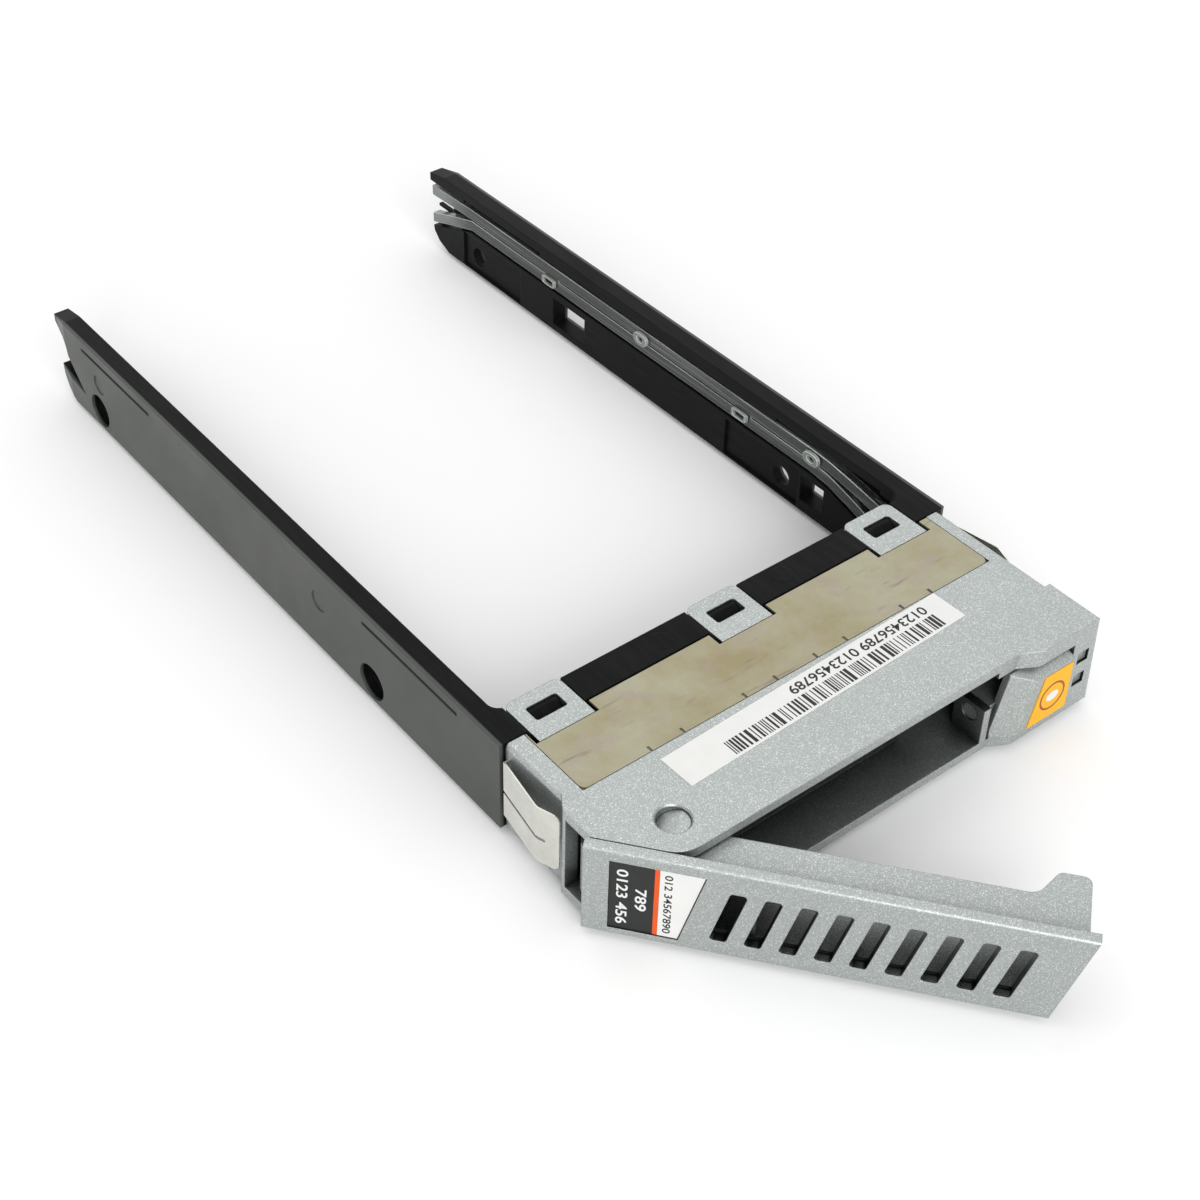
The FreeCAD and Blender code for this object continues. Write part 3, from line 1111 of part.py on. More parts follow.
for item in doc.Objects:
    if "Invalid" in item.State or "Error" in item.State:
        raise ValueError("%s failed: %s" % (item.Label, item.State))
os.makedirs("parts", exist_ok=True)
for piece in pieces:
    if piece.Shape.isNull() or not piece.Shape.isValid():
        raise ValueError("%s has no valid shape" % piece.Label)
    piece.Shape.exportStep("parts/%s.step" % piece.Label)
    print(piece.Label, round(piece.Shape.Volume, 1), len(piece.Shape.Solids), piece.Shape.BoundBox)
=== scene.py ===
"""Looks of a hot swap drive caddy: finishes, print, small trim, studio and camera.

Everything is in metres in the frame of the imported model: +X right, +Y back, +Z up.
"""
import json
import logging
import math
from dataclasses import dataclass
from enum import Enum
from typing import Any, Sequence

import bmesh
import bpy
import numpy as np
from mathutils import Matrix, Vector


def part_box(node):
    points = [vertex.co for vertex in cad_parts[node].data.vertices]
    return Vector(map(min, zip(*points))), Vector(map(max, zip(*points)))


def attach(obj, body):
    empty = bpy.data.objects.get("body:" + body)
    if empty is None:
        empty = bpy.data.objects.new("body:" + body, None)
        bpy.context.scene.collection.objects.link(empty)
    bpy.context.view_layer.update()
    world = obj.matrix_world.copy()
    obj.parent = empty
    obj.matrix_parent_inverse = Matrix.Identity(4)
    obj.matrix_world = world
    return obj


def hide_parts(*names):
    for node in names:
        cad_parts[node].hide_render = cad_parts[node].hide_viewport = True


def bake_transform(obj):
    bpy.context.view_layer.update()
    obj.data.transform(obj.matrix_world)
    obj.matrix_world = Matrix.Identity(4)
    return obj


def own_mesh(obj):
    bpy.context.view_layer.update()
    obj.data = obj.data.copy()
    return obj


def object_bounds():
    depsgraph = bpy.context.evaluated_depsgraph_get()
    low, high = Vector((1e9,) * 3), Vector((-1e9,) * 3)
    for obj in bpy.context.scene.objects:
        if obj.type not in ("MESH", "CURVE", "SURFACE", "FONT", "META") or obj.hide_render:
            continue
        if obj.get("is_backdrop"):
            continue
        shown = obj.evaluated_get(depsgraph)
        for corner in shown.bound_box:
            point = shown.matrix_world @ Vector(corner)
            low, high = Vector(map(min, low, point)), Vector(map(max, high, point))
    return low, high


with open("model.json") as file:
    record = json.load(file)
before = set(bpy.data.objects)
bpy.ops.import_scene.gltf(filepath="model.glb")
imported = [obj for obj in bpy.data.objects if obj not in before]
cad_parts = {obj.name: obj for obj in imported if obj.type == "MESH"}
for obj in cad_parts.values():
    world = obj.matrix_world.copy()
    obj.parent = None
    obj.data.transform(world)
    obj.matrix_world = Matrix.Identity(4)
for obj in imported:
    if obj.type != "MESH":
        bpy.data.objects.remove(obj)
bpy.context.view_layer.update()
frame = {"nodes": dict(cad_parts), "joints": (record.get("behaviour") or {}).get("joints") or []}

LOG = logging.getLogger("drive_caddy")
MM = 0.001
INK_THICK = 0.012 * MM
SHADER_SAMPLES = 6
FULL_TURN = 2.0 * math.pi
WHITE_LIGHT = (1.0, 1.0, 1.0, 1.0)

Colour = tuple[float, float, float]
Place = tuple[float, float, float]
Pair = tuple[float, float]


# ---------------------------------------------------------------------------------------------
# Shader graphs
# ---------------------------------------------------------------------------------------------
@dataclass(frozen=True)
class Pattern:
    """A fractal noise: cells per metre, octaves, weight of each finer octave, and stretch per axis."""

    scale: float
    detail: float = 2.0
    rough: float = 0.5
    stretch: Place | None = None


@dataclass(frozen=True)
class Span:
    """A change from start to end while a factor goes from low to high, and no change past them."""

    low: float
    high: float
    start: float = 0.0
    end: float = 1.0

    def times(self, share: float) -> "Span":
        """The same change with both results multiplied by a share."""
        return Span(self.low, self.high, self.start * share, self.end * share)

    def plus(self, level: float) -> "Span":
        """The same change with both results raised by a level."""
        return Span(self.low, self.high, self.start + level, self.end + level)


def seen_directly(tree: bpy.types.NodeTree) -> bpy.types.NodeSocket:
    """A factor that is 1 for camera, glossy and transmission rays, and 0 for the light a surface gives.

    Args:
        tree: the node tree of a material or the world.

    Returns:
        The factor.
    """
    path = tree.nodes.new("ShaderNodeLightPath")
    factor = path.outputs["Is Camera Ray"]
    for kind in ("Is Glossy Ray", "Is Transmission Ray"):
        either = tree.nodes.new("ShaderNodeMath")
        either.operation = "MAXIMUM"
        tree.links.new(factor, either.inputs[0])
        tree.links.new(path.outputs[kind], either.inputs[1])
        factor = either.outputs["Value"]
    return factor


class Graph:
    """A material's node tree, with short calls for the nodes that the finishes use."""

    def __init__(self, name: str) -> None:
        """Start an empty node material.

        Args:
            name: the material's name.
        """
        self.material = bpy.data.materials.new(name)
        self.material.use_nodes = True
        self.tree = self.material.node_tree
        self.tree.nodes.clear()
        self.output = self.node("OutputMaterial")
        self.place = self.node("TexCoord").outputs["Object"]

    def node(self, kind: str, **settings: Any) -> bpy.types.Node:
        """Add a node and set its properties.

        Args:
            kind: the node's type, without its "ShaderNode" prefix.
            settings: attributes of the node.

        Returns:
            The new node.
        """
        made = self.tree.nodes.new("ShaderNode" + kind)
        for name, value in settings.items():
            setattr(made, name, value)
        return made

    def link(self, source: bpy.types.NodeSocket, target: bpy.types.NodeSocket) -> None:
        """Join an output to an input."""
        self.tree.links.new(source, target)

    def calculate(self, operation: str, *values: bpy.types.NodeSocket) -> bpy.types.NodeSocket:
        """Arithmetic on one or two values.

        Args:
            operation: name of the operation.
            values: its inputs in order.

        Returns:
            The result.
        """
        made = self.node("Math", operation=operation)
        for value, target in zip(values, made.inputs):
            self.link(value, target)
        return made.outputs["Value"]

    def axis(self, name: str) -> bpy.types.NodeSocket:
        """One object coordinate.

        Args:
            name: "X", "Y" or "Z".

        Returns:
            The coordinate in metres.
        """
        split = self.node("SeparateXYZ")
        self.link(self.place, split.inputs["Vector"])
        return split.outputs[name]

    def scaled(self, scale: Place) -> bpy.types.NodeSocket:
        """Object coordinates stretched along each axis.

        Args:
            scale: factor along X, Y and Z.

        Returns:
            The stretched vector.
        """
        mapping = self.node("Mapping")
        mapping.inputs["Scale"].default_value = scale
        self.link(self.place, mapping.inputs["Vector"])
        return mapping.outputs["Vector"]

    def noise(self, pattern: Pattern) -> bpy.types.NodeSocket:
        """Fractal noise on object coordinates.

        Args:
            pattern: its scale, detail and stretch.

        Returns:
            A factor from 0 to 1.
        """
        made = self.node("TexNoise")
        made.inputs["Scale"].default_value = pattern.scale
        made.inputs["Detail"].default_value = pattern.detail
        made.inputs["Roughness"].default_value = pattern.rough
        vector = self.place if pattern.stretch is None else self.scaled(pattern.stretch)
        self.link(vector, made.inputs["Vector"])
        return made.outputs["Fac"]

    def cells(self, scale: float) -> bpy.types.Node:
        """Random values for each small cell, as of flakes in a paint.

        Args:
            scale: cells per metre.

        Returns:
            A node whose three outputs are independent values.
        """
        made = self.node("TexVoronoi")
        made.inputs["Scale"].default_value = scale
        self.link(self.place, made.inputs["Vector"])
        split = self.node("SeparateColor")
        self.link(made.outputs["Color"], split.inputs["Color"])
        return split

    def ramp(self, factor: bpy.types.NodeSocket, span: Span) -> bpy.types.NodeSocket:
        """Map a factor from one range to another, clamped.

        Args:
            factor: the value to map.
            span: both ranges.

        Returns:
            The mapped value.
        """
        made = self.node("MapRange")
        for name, value in (("From Min", span.low), ("From Max", span.high), ("To Min", span.start),
                            ("To Max", span.end)):
            made.inputs[name].default_value = value
        self.link(factor, made.inputs["Value"])
        return made.outputs["Result"]

    def mix(self, factor: bpy.types.NodeSocket, first: Colour | bpy.types.NodeSocket,
            second: Colour | bpy.types.NodeSocket) -> bpy.types.NodeSocket:
        """Blend two colours.

        Args:
            factor: share of the second colour.
            first: colour at 0.
            second: colour at 1.

        Returns:
            The blended colour.
        """
        made = self.node("Mix", data_type="RGBA")
        self.link(factor, made.inputs["Factor"])
        for name, value in (("A", first), ("B", second)):
            target = [socket for socket in made.inputs if socket.name == name and socket.type == "RGBA"][0]
            if isinstance(value, tuple):
                target.default_value = (*value, 1.0)
            else:
                self.link(value, target)
        return [socket for socket in made.outputs if socket.type == "RGBA"][0]

    def bump(self, height: bpy.types.NodeSocket, depth: float,
             under: bpy.types.NodeSocket | None = None) -> bpy.types.NodeSocket:
        """Surface relief.

        Args:
            height: relief from 0 to 1.
            depth: height of the relief in metres.
            under: normal to add the relief to.

        Returns:
            A normal.
        """
        made = self.node("Bump")
        made.inputs["Distance"].default_value = depth
        made.inputs["Strength"].default_value = 1.0
        self.link(height, made.inputs["Height"])
        if under is not None:
            self.link(under, made.inputs["Normal"])
        return made.outputs["Normal"]

    def soft_edge(self, radius: float) -> bpy.types.NodeSocket:
        """A normal that rolls over sharp edges.

        Args:
            radius: radius of the roll in metres.

        Returns:
            A normal.
        """
        made = self.node("Bevel", samples=SHADER_SAMPLES)
        made.inputs["Radius"].default_value = radius
        return made.outputs["Normal"]

    def recess(self, reach: float) -> bpy.types.NodeSocket:
        """Share of open space round a point of a piece: 1 on an open face, 0 deep in a recess.

        Args:
            reach: how far walls of the same piece count, in metres.

        Returns:
            The share.
        """
        made = self.node("AmbientOcclusion", samples=SHADER_SAMPLES, only_local=True)
        made.inputs["Distance"].default_value = reach
        return made.outputs["AO"]

    def surface(self, normal: bpy.types.NodeSocket | None = None,
                **values: float | tuple | bpy.types.NodeSocket) -> bpy.types.Node:
        """The Principled surface that ends the graph.

        Args:
            normal: relief, or None.
            values: the shader's sockets by name, with "_" for a space.

        Returns:
            The shader node.
        """
        made = self.node("BsdfPrincipled")
        for name, value in values.items():
            target = made.inputs[name.replace("_", " ")]
            if isinstance(value, bpy.types.NodeSocket):
                self.link(value, target)
            else:
                target.default_value = value
        if normal is not None:
            self.link(normal, made.inputs["Normal"])
        self.link(made.outputs["BSDF"], self.output.inputs["Surface"])
        return made


# ---------------------------------------------------------------------------------------------
# Finishes
# ---------------------------------------------------------------------------------------------
@dataclass(frozen=True)
class MouldedBlack:
    """Black moulded plastic with a fine spark-eroded grain.

    Its outer sides are painted paler as a sheen, the floor's reflection in them, and the crossbar keeps two
    round ejector marks.
    """

    colour: Colour = (0.004, 0.0047, 0.0041)
    worn: Colour = (0.012, 0.0135, 0.012)
    # Painted sheen: paler colour of the outer sides, standing in for the floor reflected in them.
    painted_sheen: Colour = (0.06, 0.066, 0.059)
    rubbing: Pattern = Pattern(900.0, 3.0, 0.65, (1.0, 0.12, 1.6))
    wear: Span = Span(0.45, 0.8, 0.0, 0.7)
    outside: Span = Span(37.6 * MM, 37.9 * MM)
    cloud: Pattern = Pattern(60.0, 4.0, 0.6)
    roughness: float = 0.36
    uneven: Span = Span(0.3, 0.7, -0.07, 0.1)
    gloss: Span = Span(0.0, 1.0, 0.06, 0.3)
    grain: Pattern = Pattern(9000.0, 2.0, 0.55)
    grain_depth: float = 0.012 * MM
    edge: float = 0.18 * MM
    marks: tuple[Pair, ...] = ((-10.5 * MM, 30.9 * MM), (10.7 * MM, 31.1 * MM))
    mark: Span = Span(1.65 * MM, 1.53 * MM)
    mark_depth: float = 0.08 * MM

    def build(self) -> bpy.types.Material:
        """Make the material.

        Returns:
            The material.
        """
        graph = Graph("moulded_black")
        colour = graph.mix(graph.ramp(graph.noise(self.rubbing), self.wear), self.colour, self.worn)
        # Painted sheen: the outer sides, past 37.6 mm from the middle, turn paler as the floor's reflection.
        side = graph.ramp(graph.calculate("ABSOLUTE", graph.axis("X")), self.outside)
        colour = graph.mix(side, colour, self.painted_sheen)
        normal = graph.bump(graph.noise(self.grain), self.grain_depth, graph.soft_edge(self.edge))
        for centre in self.marks:
            apart = graph.node("VectorMath", operation="DISTANCE")
            graph.link(graph.scaled((1.0, 1.0, 0.0)), apart.inputs[0])
            apart.inputs[1].default_value = (*centre, 0.0)
            normal = graph.bump(graph.ramp(apart.outputs["Value"], self.mark), self.mark_depth, normal)
        graph.surface(normal, Base_Color=colour,
                      Roughness=graph.ramp(graph.noise(self.cloud), self.uneven.plus(self.roughness)),
                      Specular_IOR_Level=graph.ramp(side, self.gloss))
        return graph.material


@dataclass(frozen=True)
class SilverPaint:
    """Metallic silver paint: fine flakes under a satin lacquer, with painted shade that darkens it to near
    black deep in recesses.
    """

    colour: Colour = (0.365, 0.394, 0.383)
    bright: Colour = (0.95, 0.96, 0.95)
    dark: Colour = (0.28, 0.305, 0.3)
    # Painted shade: near-black colour for the depths of recesses.
    painted_recess_shade: Colour = (0.012, 0.0135, 0.0135)
    flakes_per_m: float = 11000.0
    sparkling: Span = Span(0.76, 1.0, 0.0, 0.62)
    shaded: Span = Span(0.0, 0.2, 0.35, 0.0)
    reach: float = 12.0 * MM
    recess_shade_span: Span = Span(0.52, 0.92)
    cloud: Pattern = Pattern(140.0, 3.0, 0.55)
    roughness: float = 0.42
    uneven: Span = Span(0.3, 0.7, -0.04, 0.05)
    peel: Pattern = Pattern(2600.0)
    peel_depth: float = 0.009 * MM
    edge: float = 0.22 * MM
    metal: float = 0.85
    lacquer: float = 0.15
    lacquer_roughness: float = 0.25

    def build(self) -> bpy.types.Material:
        """Make the material.

        Returns:
            The material.
        """
        graph = Graph("silver_paint")
        flake = graph.cells(self.flakes_per_m)
        base = graph.mix(graph.ramp(flake.outputs["Green"], self.shaded), self.colour, self.dark)
        outside = graph.mix(graph.ramp(flake.outputs["Red"], self.sparkling), base, self.bright)
        # Painted shade: where ambient occlusion finds walls close round, the colour falls towards near black.
        colour = graph.mix(graph.ramp(graph.recess(self.reach), self.recess_shade_span), self.painted_recess_shade, outside)
        normal = graph.bump(graph.noise(self.peel), self.peel_depth, graph.soft_edge(self.edge))
        graph.surface(normal, Base_Color=colour, Metallic=self.metal,
                      Roughness=graph.ramp(graph.noise(self.cloud), self.uneven.plus(self.roughness)),
                      Coat_Weight=self.lacquer, Coat_Roughness=self.lacquer_roughness)
        return graph.material


@dataclass(frozen=True)
class RolledSheet:
    """Bare rolled sheet metal: fine lines along X and a faint tarnish."""

    name: str
    colour: Colour
    tarnish: Colour
    roughness: float = 0.34
    metal: float = 1.0
    tint: Colour = (0.34, 0.27, 0.24)
    scratched: Colour = (0.2, 0.17, 0.13)
    tinted: float = 0.0
    stain: Pattern = Pattern(75.0, 6.0, 0.68)
    stained: Span = Span(0.4, 0.68, 0.0, 0.85)
    bloom: Pattern = Pattern(260.0, 5.0, 0.7)
    bloomed: Span = Span(0.5, 0.72)
    scratch: Pattern = Pattern(900.0, 2.0, 0.6, (0.12, 1.0, 1.0))
    cut: Span = Span(0.64, 0.74)
    lines: Pattern = Pattern(5200.0, 3.0, 0.6, (0.012, 1.0, 1.0))
    uneven: Span = Span(0.25, 0.75, -0.06, 0.14)
    line_depth: float = 0.006 * MM
    edge: float = 0.06 * MM

    def build(self) -> bpy.types.Material:
        """Make the material.

        Returns:
            The material.
        """
        graph = Graph(self.name)
        colour: Colour | bpy.types.NodeSocket = self.colour
        for pattern, span, over in ((self.stain, self.stained, self.tarnish),
                                    (self.bloom, self.bloomed.times(self.tinted), self.tint),
                                    (self.scratch, self.cut.times(self.tinted), self.scratched)):
            colour = graph.mix(graph.ramp(graph.noise(pattern), span), colour, over)
        lines = graph.noise(self.lines)
        normal = graph.bump(lines, self.line_depth, graph.soft_edge(self.edge))
        graph.surface(normal, Base_Color=colour, Metallic=self.metal,
                      Roughness=graph.ramp(lines, self.uneven.plus(self.roughness)))
        return graph.material


@dataclass(frozen=True)
class ClearMoulding:
    """Clear acrylic of the light guide: dark over its black channel, with painted highlights as bright lines
    along its edges.
    """

    name: str = "clear_moulding"
    colour: Colour = (0.04, 0.047, 0.041)
    pale: Colour = (0.3, 0.325, 0.31)
    # Painted highlight: bright colour laid along the edges as glints.
    edge: Colour = (0.85, 0.9, 0.87)
    rear_end: Span = Span(136.0 * MM, 144.0 * MM)
    front_end: Span = Span(4.0 * MM, 2.5 * MM)
    streak: Pattern = Pattern(1500.0, 3.0, 0.6, (1.0, 0.02, 1.0))
    streaked: Span = Span(0.5, 0.68, 0.0, 0.5)
    streak_depth: float = 0.008 * MM
    edge_width: float = 0.3 * MM
    rolled: Span = Span(0.985, 0.9)
    patchy: Pattern = Pattern(160.0, 2.0, 0.5, (1.0, 0.3, 1.0))
    patches: Span = Span(0.35, 0.6, 0.5, 1.0)
    clear: Span = Span(0.0, 1.0, 0.3, 0.0)
    roughness: float = 0.13
    bending: float = 1.45

    def build(self) -> bpy.types.Material:
        """Make the material.

        An edge is where the rolled normal leaves the true one: the dot product of the two falls.

        Returns:
            The material.
        """
        graph = Graph(self.name)
        along = graph.axis("Y")
        ends = graph.calculate("MAXIMUM", graph.ramp(along, self.rear_end), graph.ramp(along, self.front_end))
        body = graph.mix(ends, self.colour, self.pale)
        streak = graph.noise(self.streak)
        body = graph.mix(graph.ramp(streak, self.streaked), body, self.pale)
        turned = graph.node("VectorMath", operation="DOT_PRODUCT")
        graph.link(graph.soft_edge(self.edge_width), turned.inputs[0])
        graph.link(graph.node("NewGeometry").outputs["Normal"], turned.inputs[1])
        # Painted highlight: along the edges the colour turns bright and the plastic opaque.
        edge = graph.calculate("MULTIPLY", graph.ramp(turned.outputs["Value"], self.rolled),
                         graph.ramp(graph.noise(self.patchy), self.patches))
        normal = graph.bump(streak, self.streak_depth, graph.soft_edge(self.edge_width))
        graph.surface(normal, Base_Color=graph.mix(edge, body, self.edge), Roughness=self.roughness,
                      Transmission_Weight=graph.ramp(edge, self.clear), IOR=self.bending)
        return graph.material


@dataclass(frozen=True)
class Paper:
    """A printed label: an even field with a little tooth and a thin gloss."""

    name: str
    colour: Colour
    roughness: float = 0.5
    cloud: Pattern = Pattern(400.0, 3.0, 0.6)
    clouded: Span = Span(0.35, 0.7, 0.0, 0.6)
    shade: float = 0.94
    tooth: Pattern = Pattern(7000.0)
    tooth_depth: float = 0.006 * MM
    gloss: float = 0.25

    def build(self) -> bpy.types.Material:
        """Make the material.

        Returns:
            The material.
        """
        graph = Graph(self.name)
        darker = tuple(self.shade * part for part in self.colour)
        colour = graph.mix(graph.ramp(graph.noise(self.cloud), self.clouded), self.colour, darker)
        normal = graph.bump(graph.noise(self.tooth), self.tooth_depth)
        graph.surface(normal, Base_Color=colour, Roughness=self.roughness,
                      Specular_IOR_Level=self.gloss)
        return graph.material


class Finish(Enum):
    """Every finish of the caddy."""

    BLACK = MouldedBlack()
    SILVER = SilverPaint()
    CONTACT = RolledSheet("contact_sheet", (0.36, 0.345, 0.245), (0.28, 0.235, 0.12), metal=0.6, tinted=0.75)
    SPRING = RolledSheet("spring_sheet", (0.74, 0.74, 0.7), (0.58, 0.57, 0.52), roughness=0.28)
    CLEAR = ClearMoulding()
    FROSTED = ClearMoulding("clear_clips", (0.33, 0.36, 0.34))
    WHITE = Paper("label_white", (0.82, 0.82, 0.8))
    INK = Paper("label_ink", (0.02, 0.021, 0.021), 0.42)
    ORANGE = Paper("label_orange", (0.79, 0.11, 0.02))
    RUST = Paper("label_rust", (0.36, 0.07, 0.015), 0.42)
    AMBER = Paper("label_amber", (0.95, 0.47, 0.01), 0.42)


class Finishes:
    """Builds each finish once."""

    def __init__(self) -> None:
        """Start with no material made."""
        self.made: dict[Finish, bpy.types.Material] = {}

    def __getitem__(self, finish: Finish) -> bpy.types.Material:
        """The material of a finish, built on its first use.

        Args:
            finish: the finish.

        Returns:
            Its material.
        """
        if finish not in self.made:
            self.made[finish] = finish.value.build()
        return self.made[finish]

    def dress(self, node: str, finish: Finish) -> None:
        """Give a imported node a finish.

        Args:
            node: the node's name.
            finish: its finish.
        """
        piece = frame["nodes"][node]
        if not piece.material_slots:
            piece.data.materials.append(None)
        for holder in piece.material_slots:
            holder.material = self[finish]
        LOG.info("%s dressed in %s", node, finish.name.lower())


# ---------------------------------------------------------------------------------------------
# Print on labels: thin raised fields
# ---------------------------------------------------------------------------------------------
@dataclass(frozen=True)
class Sheet:
    """A flat label's own frame: a corner, its long and short directions, and its outward normal."""

    corner: Vector
    along: Vector
    across: Vector

    @property
    def normal(self) -> Vector:
        """Outward normal of the label."""
        return self.along.cross(self.across).normalized()

    def matrix(self) -> Matrix:
        """Matrix from label coordinates to the frame."""
        turn = Matrix((self.along, self.across, self.normal)).transposed().to_4x4()
        return Matrix.Translation(self.corner) @ turn


@dataclass(frozen=True)
class Field:
    """A rectangle of colour on a label, whose right edge may lean."""

    name: str
    finish: Finish
    slot: str
    low: Pair
    high: Pair
    lean: float = 0.0


@dataclass(frozen=True)
class Figures:
    """A line of plain figures on a label."""

    name: str
    text: str
    start: Pair
    height: float
    length: float
    finish: Finish
    slot: str
    font_share: float = 0.72
    spread: float = 0.02


@dataclass(frozen=True)
class BarRow:
    """A row of bars of one to three modules, with gaps of one to three, that stands for no code."""

    width: float
    height: float
    module: float
    start: Pair
    seed: int
    modules: tuple[int, ...] = (1, 2, 3)
    bar_shares: tuple[float, ...] = (0.55, 0.3, 0.15)
    gap_shares: tuple[float, ...] = (0.5, 0.35, 0.15)
    modules_per_bar: float = 3.3

    def corners(self) -> tuple[np.ndarray, np.ndarray]:
        """Lay the bars out.

        A bar's left edge is the sum of all bars and gaps before it, stretched so that the row has its
        width.

        Returns:
            Lower and upper corners of the bars.
        """
        draw = np.random.default_rng(self.seed)
        count = int(self.width / (self.modules_per_bar * self.module))
        bars = draw.choice(list(self.modules), count, p=self.bar_shares) * self.module
        gaps = draw.choice(list(self.modules), count, p=self.gap_shares) * self.module
        left = np.concatenate([[0.0], np.cumsum(bars + gaps)[:-1]])
        left = left * self.width / (left[-1] + bars[-1])
        low = np.stack([self.start[0] + left, np.full(count, self.start[1])], axis=1)
        high = np.stack([self.start[0] + left + bars, np.full(count, self.start[1] + self.height)], axis=1)
        return low, high


def joint_named(name: str) -> dict[str, Any]:
    """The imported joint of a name.

    Args:
        name: the joint's name.

    Returns:
        Its facts.
    """
    return next(joint for joint in frame["joints"] if joint["name"] == name)


def link_piece(name: str, mesh: bpy.types.Mesh, material: bpy.types.Material) -> bpy.types.Object:
    """Show a mesh as a piece with one material.

    Args:
        name: the piece's name.
        mesh: its mesh, in the frame.
        material: its material.

    Returns:
        The new object.
    """
    mesh.materials.clear()
    mesh.materials.append(material)
    piece = bpy.data.objects.new(name, mesh)
    bpy.context.scene.collection.objects.link(piece)
    LOG.info("%s: %d faces", name, len(mesh.polygons))
    return piece


def new_piece(name: str, corners: np.ndarray, faces: np.ndarray | Sequence[Sequence[int]],
              body: str, material: bpy.types.Material) -> bpy.types.Object:
    """Put arrays of vertices and faces into a mesh object that rides on a body.

    Args:
        name: the piece's name.
        corners: vertices, one row each, in metres in the frame.
        faces: vertex indices of each face.
        body: body that carries the piece.
        material: its material.

    Returns:
        The new object.
    """
    mesh = bpy.data.meshes.new(name)
    mesh.from_pydata(corners.tolist(), [], np.asarray(faces).tolist())
    mesh.update()
    piece = link_piece(name, mesh, material)
    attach(piece, body)
    return piece


def closed_bands(steps: int, rings: int, closed: bool) -> np.ndarray:
    """Quads between rings of corners that follow each other.

    A quad joins a corner and the next one of its ring to the same two corners of the following ring.

    Args:
        steps: corners of a ring.
        rings: number of rings.
        closed: whether the last ring is joined to the first.

    Returns:
        Vertex indices, one row a quad.
    """
    here = np.arange(steps)
    after = np.roll(here, -1)
    bands = []
    for number in range(rings if closed else rings - 1):
        this, following = number * steps, (number + 1) % rings * steps
        bands.append(np.stack([here + this, here + following, after + following, after + this], axis=1))
    return np.concatenate(bands)


def slabs(sheet: Sheet, low: np.ndarray, high: np.ndarray, lean: float,
          thick: float) -> tuple[np.ndarray, np.ndarray]:
    """Thin slabs on a label, each a rectangle from one corner to the opposite one.

    A slab's corner is corner + u * along + v * across, at height 0 and at its thickness. On its right
    edge u is larger by lean * v.

    Args:
        sheet: the label's frame.
        low: lower corners (u, v), one row a slab.
        high: upper corners (u, v), one row a slab.
        lean: sideways lean of the right edge per height.
        thick: thickness of the print.

    Returns:
        Vertices and quads of all slabs.
    """
    pick = np.array([[0, 0], [1, 0], [1, 1], [0, 1]])
    ends = np.stack([low, high], axis=1)
    v = ends[:, pick[:, 1], 1]
    u = ends[:, pick[:, 0], 0] + lean * v * pick[:, 0]
    flat = (np.array(sheet.corner) + u[..., None] * np.array(sheet.along)
            + v[..., None] * np.array(sheet.across))
    lift = thick * np.array(sheet.normal)
    corners = np.concatenate([flat, flat + lift], axis=1).reshape(-1, 3)
    quads = np.array([[3, 2, 1, 0], [4, 5, 6, 7], [0, 1, 5, 4], [1, 2, 6, 5], [2, 3, 7, 6], [3, 0, 4, 7]])
    faces = (quads[None] + corners.shape[0] // len(low) * np.arange(len(low))[:, None, None]).reshape(-1, 4)
    return corners, faces


def print_figures(figures: Figures, sheet: Sheet, body: str, finishes: Finishes, thick: float) -> None:
    """Plain figures on a label, as a thin mesh.

    Args:
        figures: the line of figures.
        sheet: the label's frame.
        body: body that carries the piece.
        finishes: the finishes.
        thick: thickness of the print.
    """
    curve = bpy.data.curves.new(figures.name, "FONT")
    curve.body = figures.text
    curve.size = figures.height / figures.font_share
    curve.extrude = thick / 2
    curve.offset = figures.spread * figures.height
    maker = bpy.data.objects.new(figures.name + "_maker", curve)
    bpy.context.scene.collection.objects.link(maker)
    bpy.context.view_layer.update()
    mesh = bpy.data.meshes.new_from_object(maker.evaluated_get(bpy.context.evaluated_depsgraph_get()))
    bpy.data.objects.remove(maker)
    places = np.empty(len(mesh.vertices) * 3)
    mesh.vertices.foreach_get("co", places)
    stretch = Matrix.Diagonal((figures.length / places[::3].max(), 1.0, 1.0, 1.0))
    mesh.transform(sheet.matrix() @ Matrix.Translation((*figures.start, thick / 2)) @ stretch)
    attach(link_piece(figures.name, mesh, finishes[figures.finish]), body)


# ---------------------------------------------------------------------------------------------
# Sub-assemblies
# ---------------------------------------------------------------------------------------------
@dataclass(frozen=True)
class Clip:
    """A small moulded loop or boss on the light guide."""

    name: str
    place: Pair
    half: Pair
    power: float
    hole: float


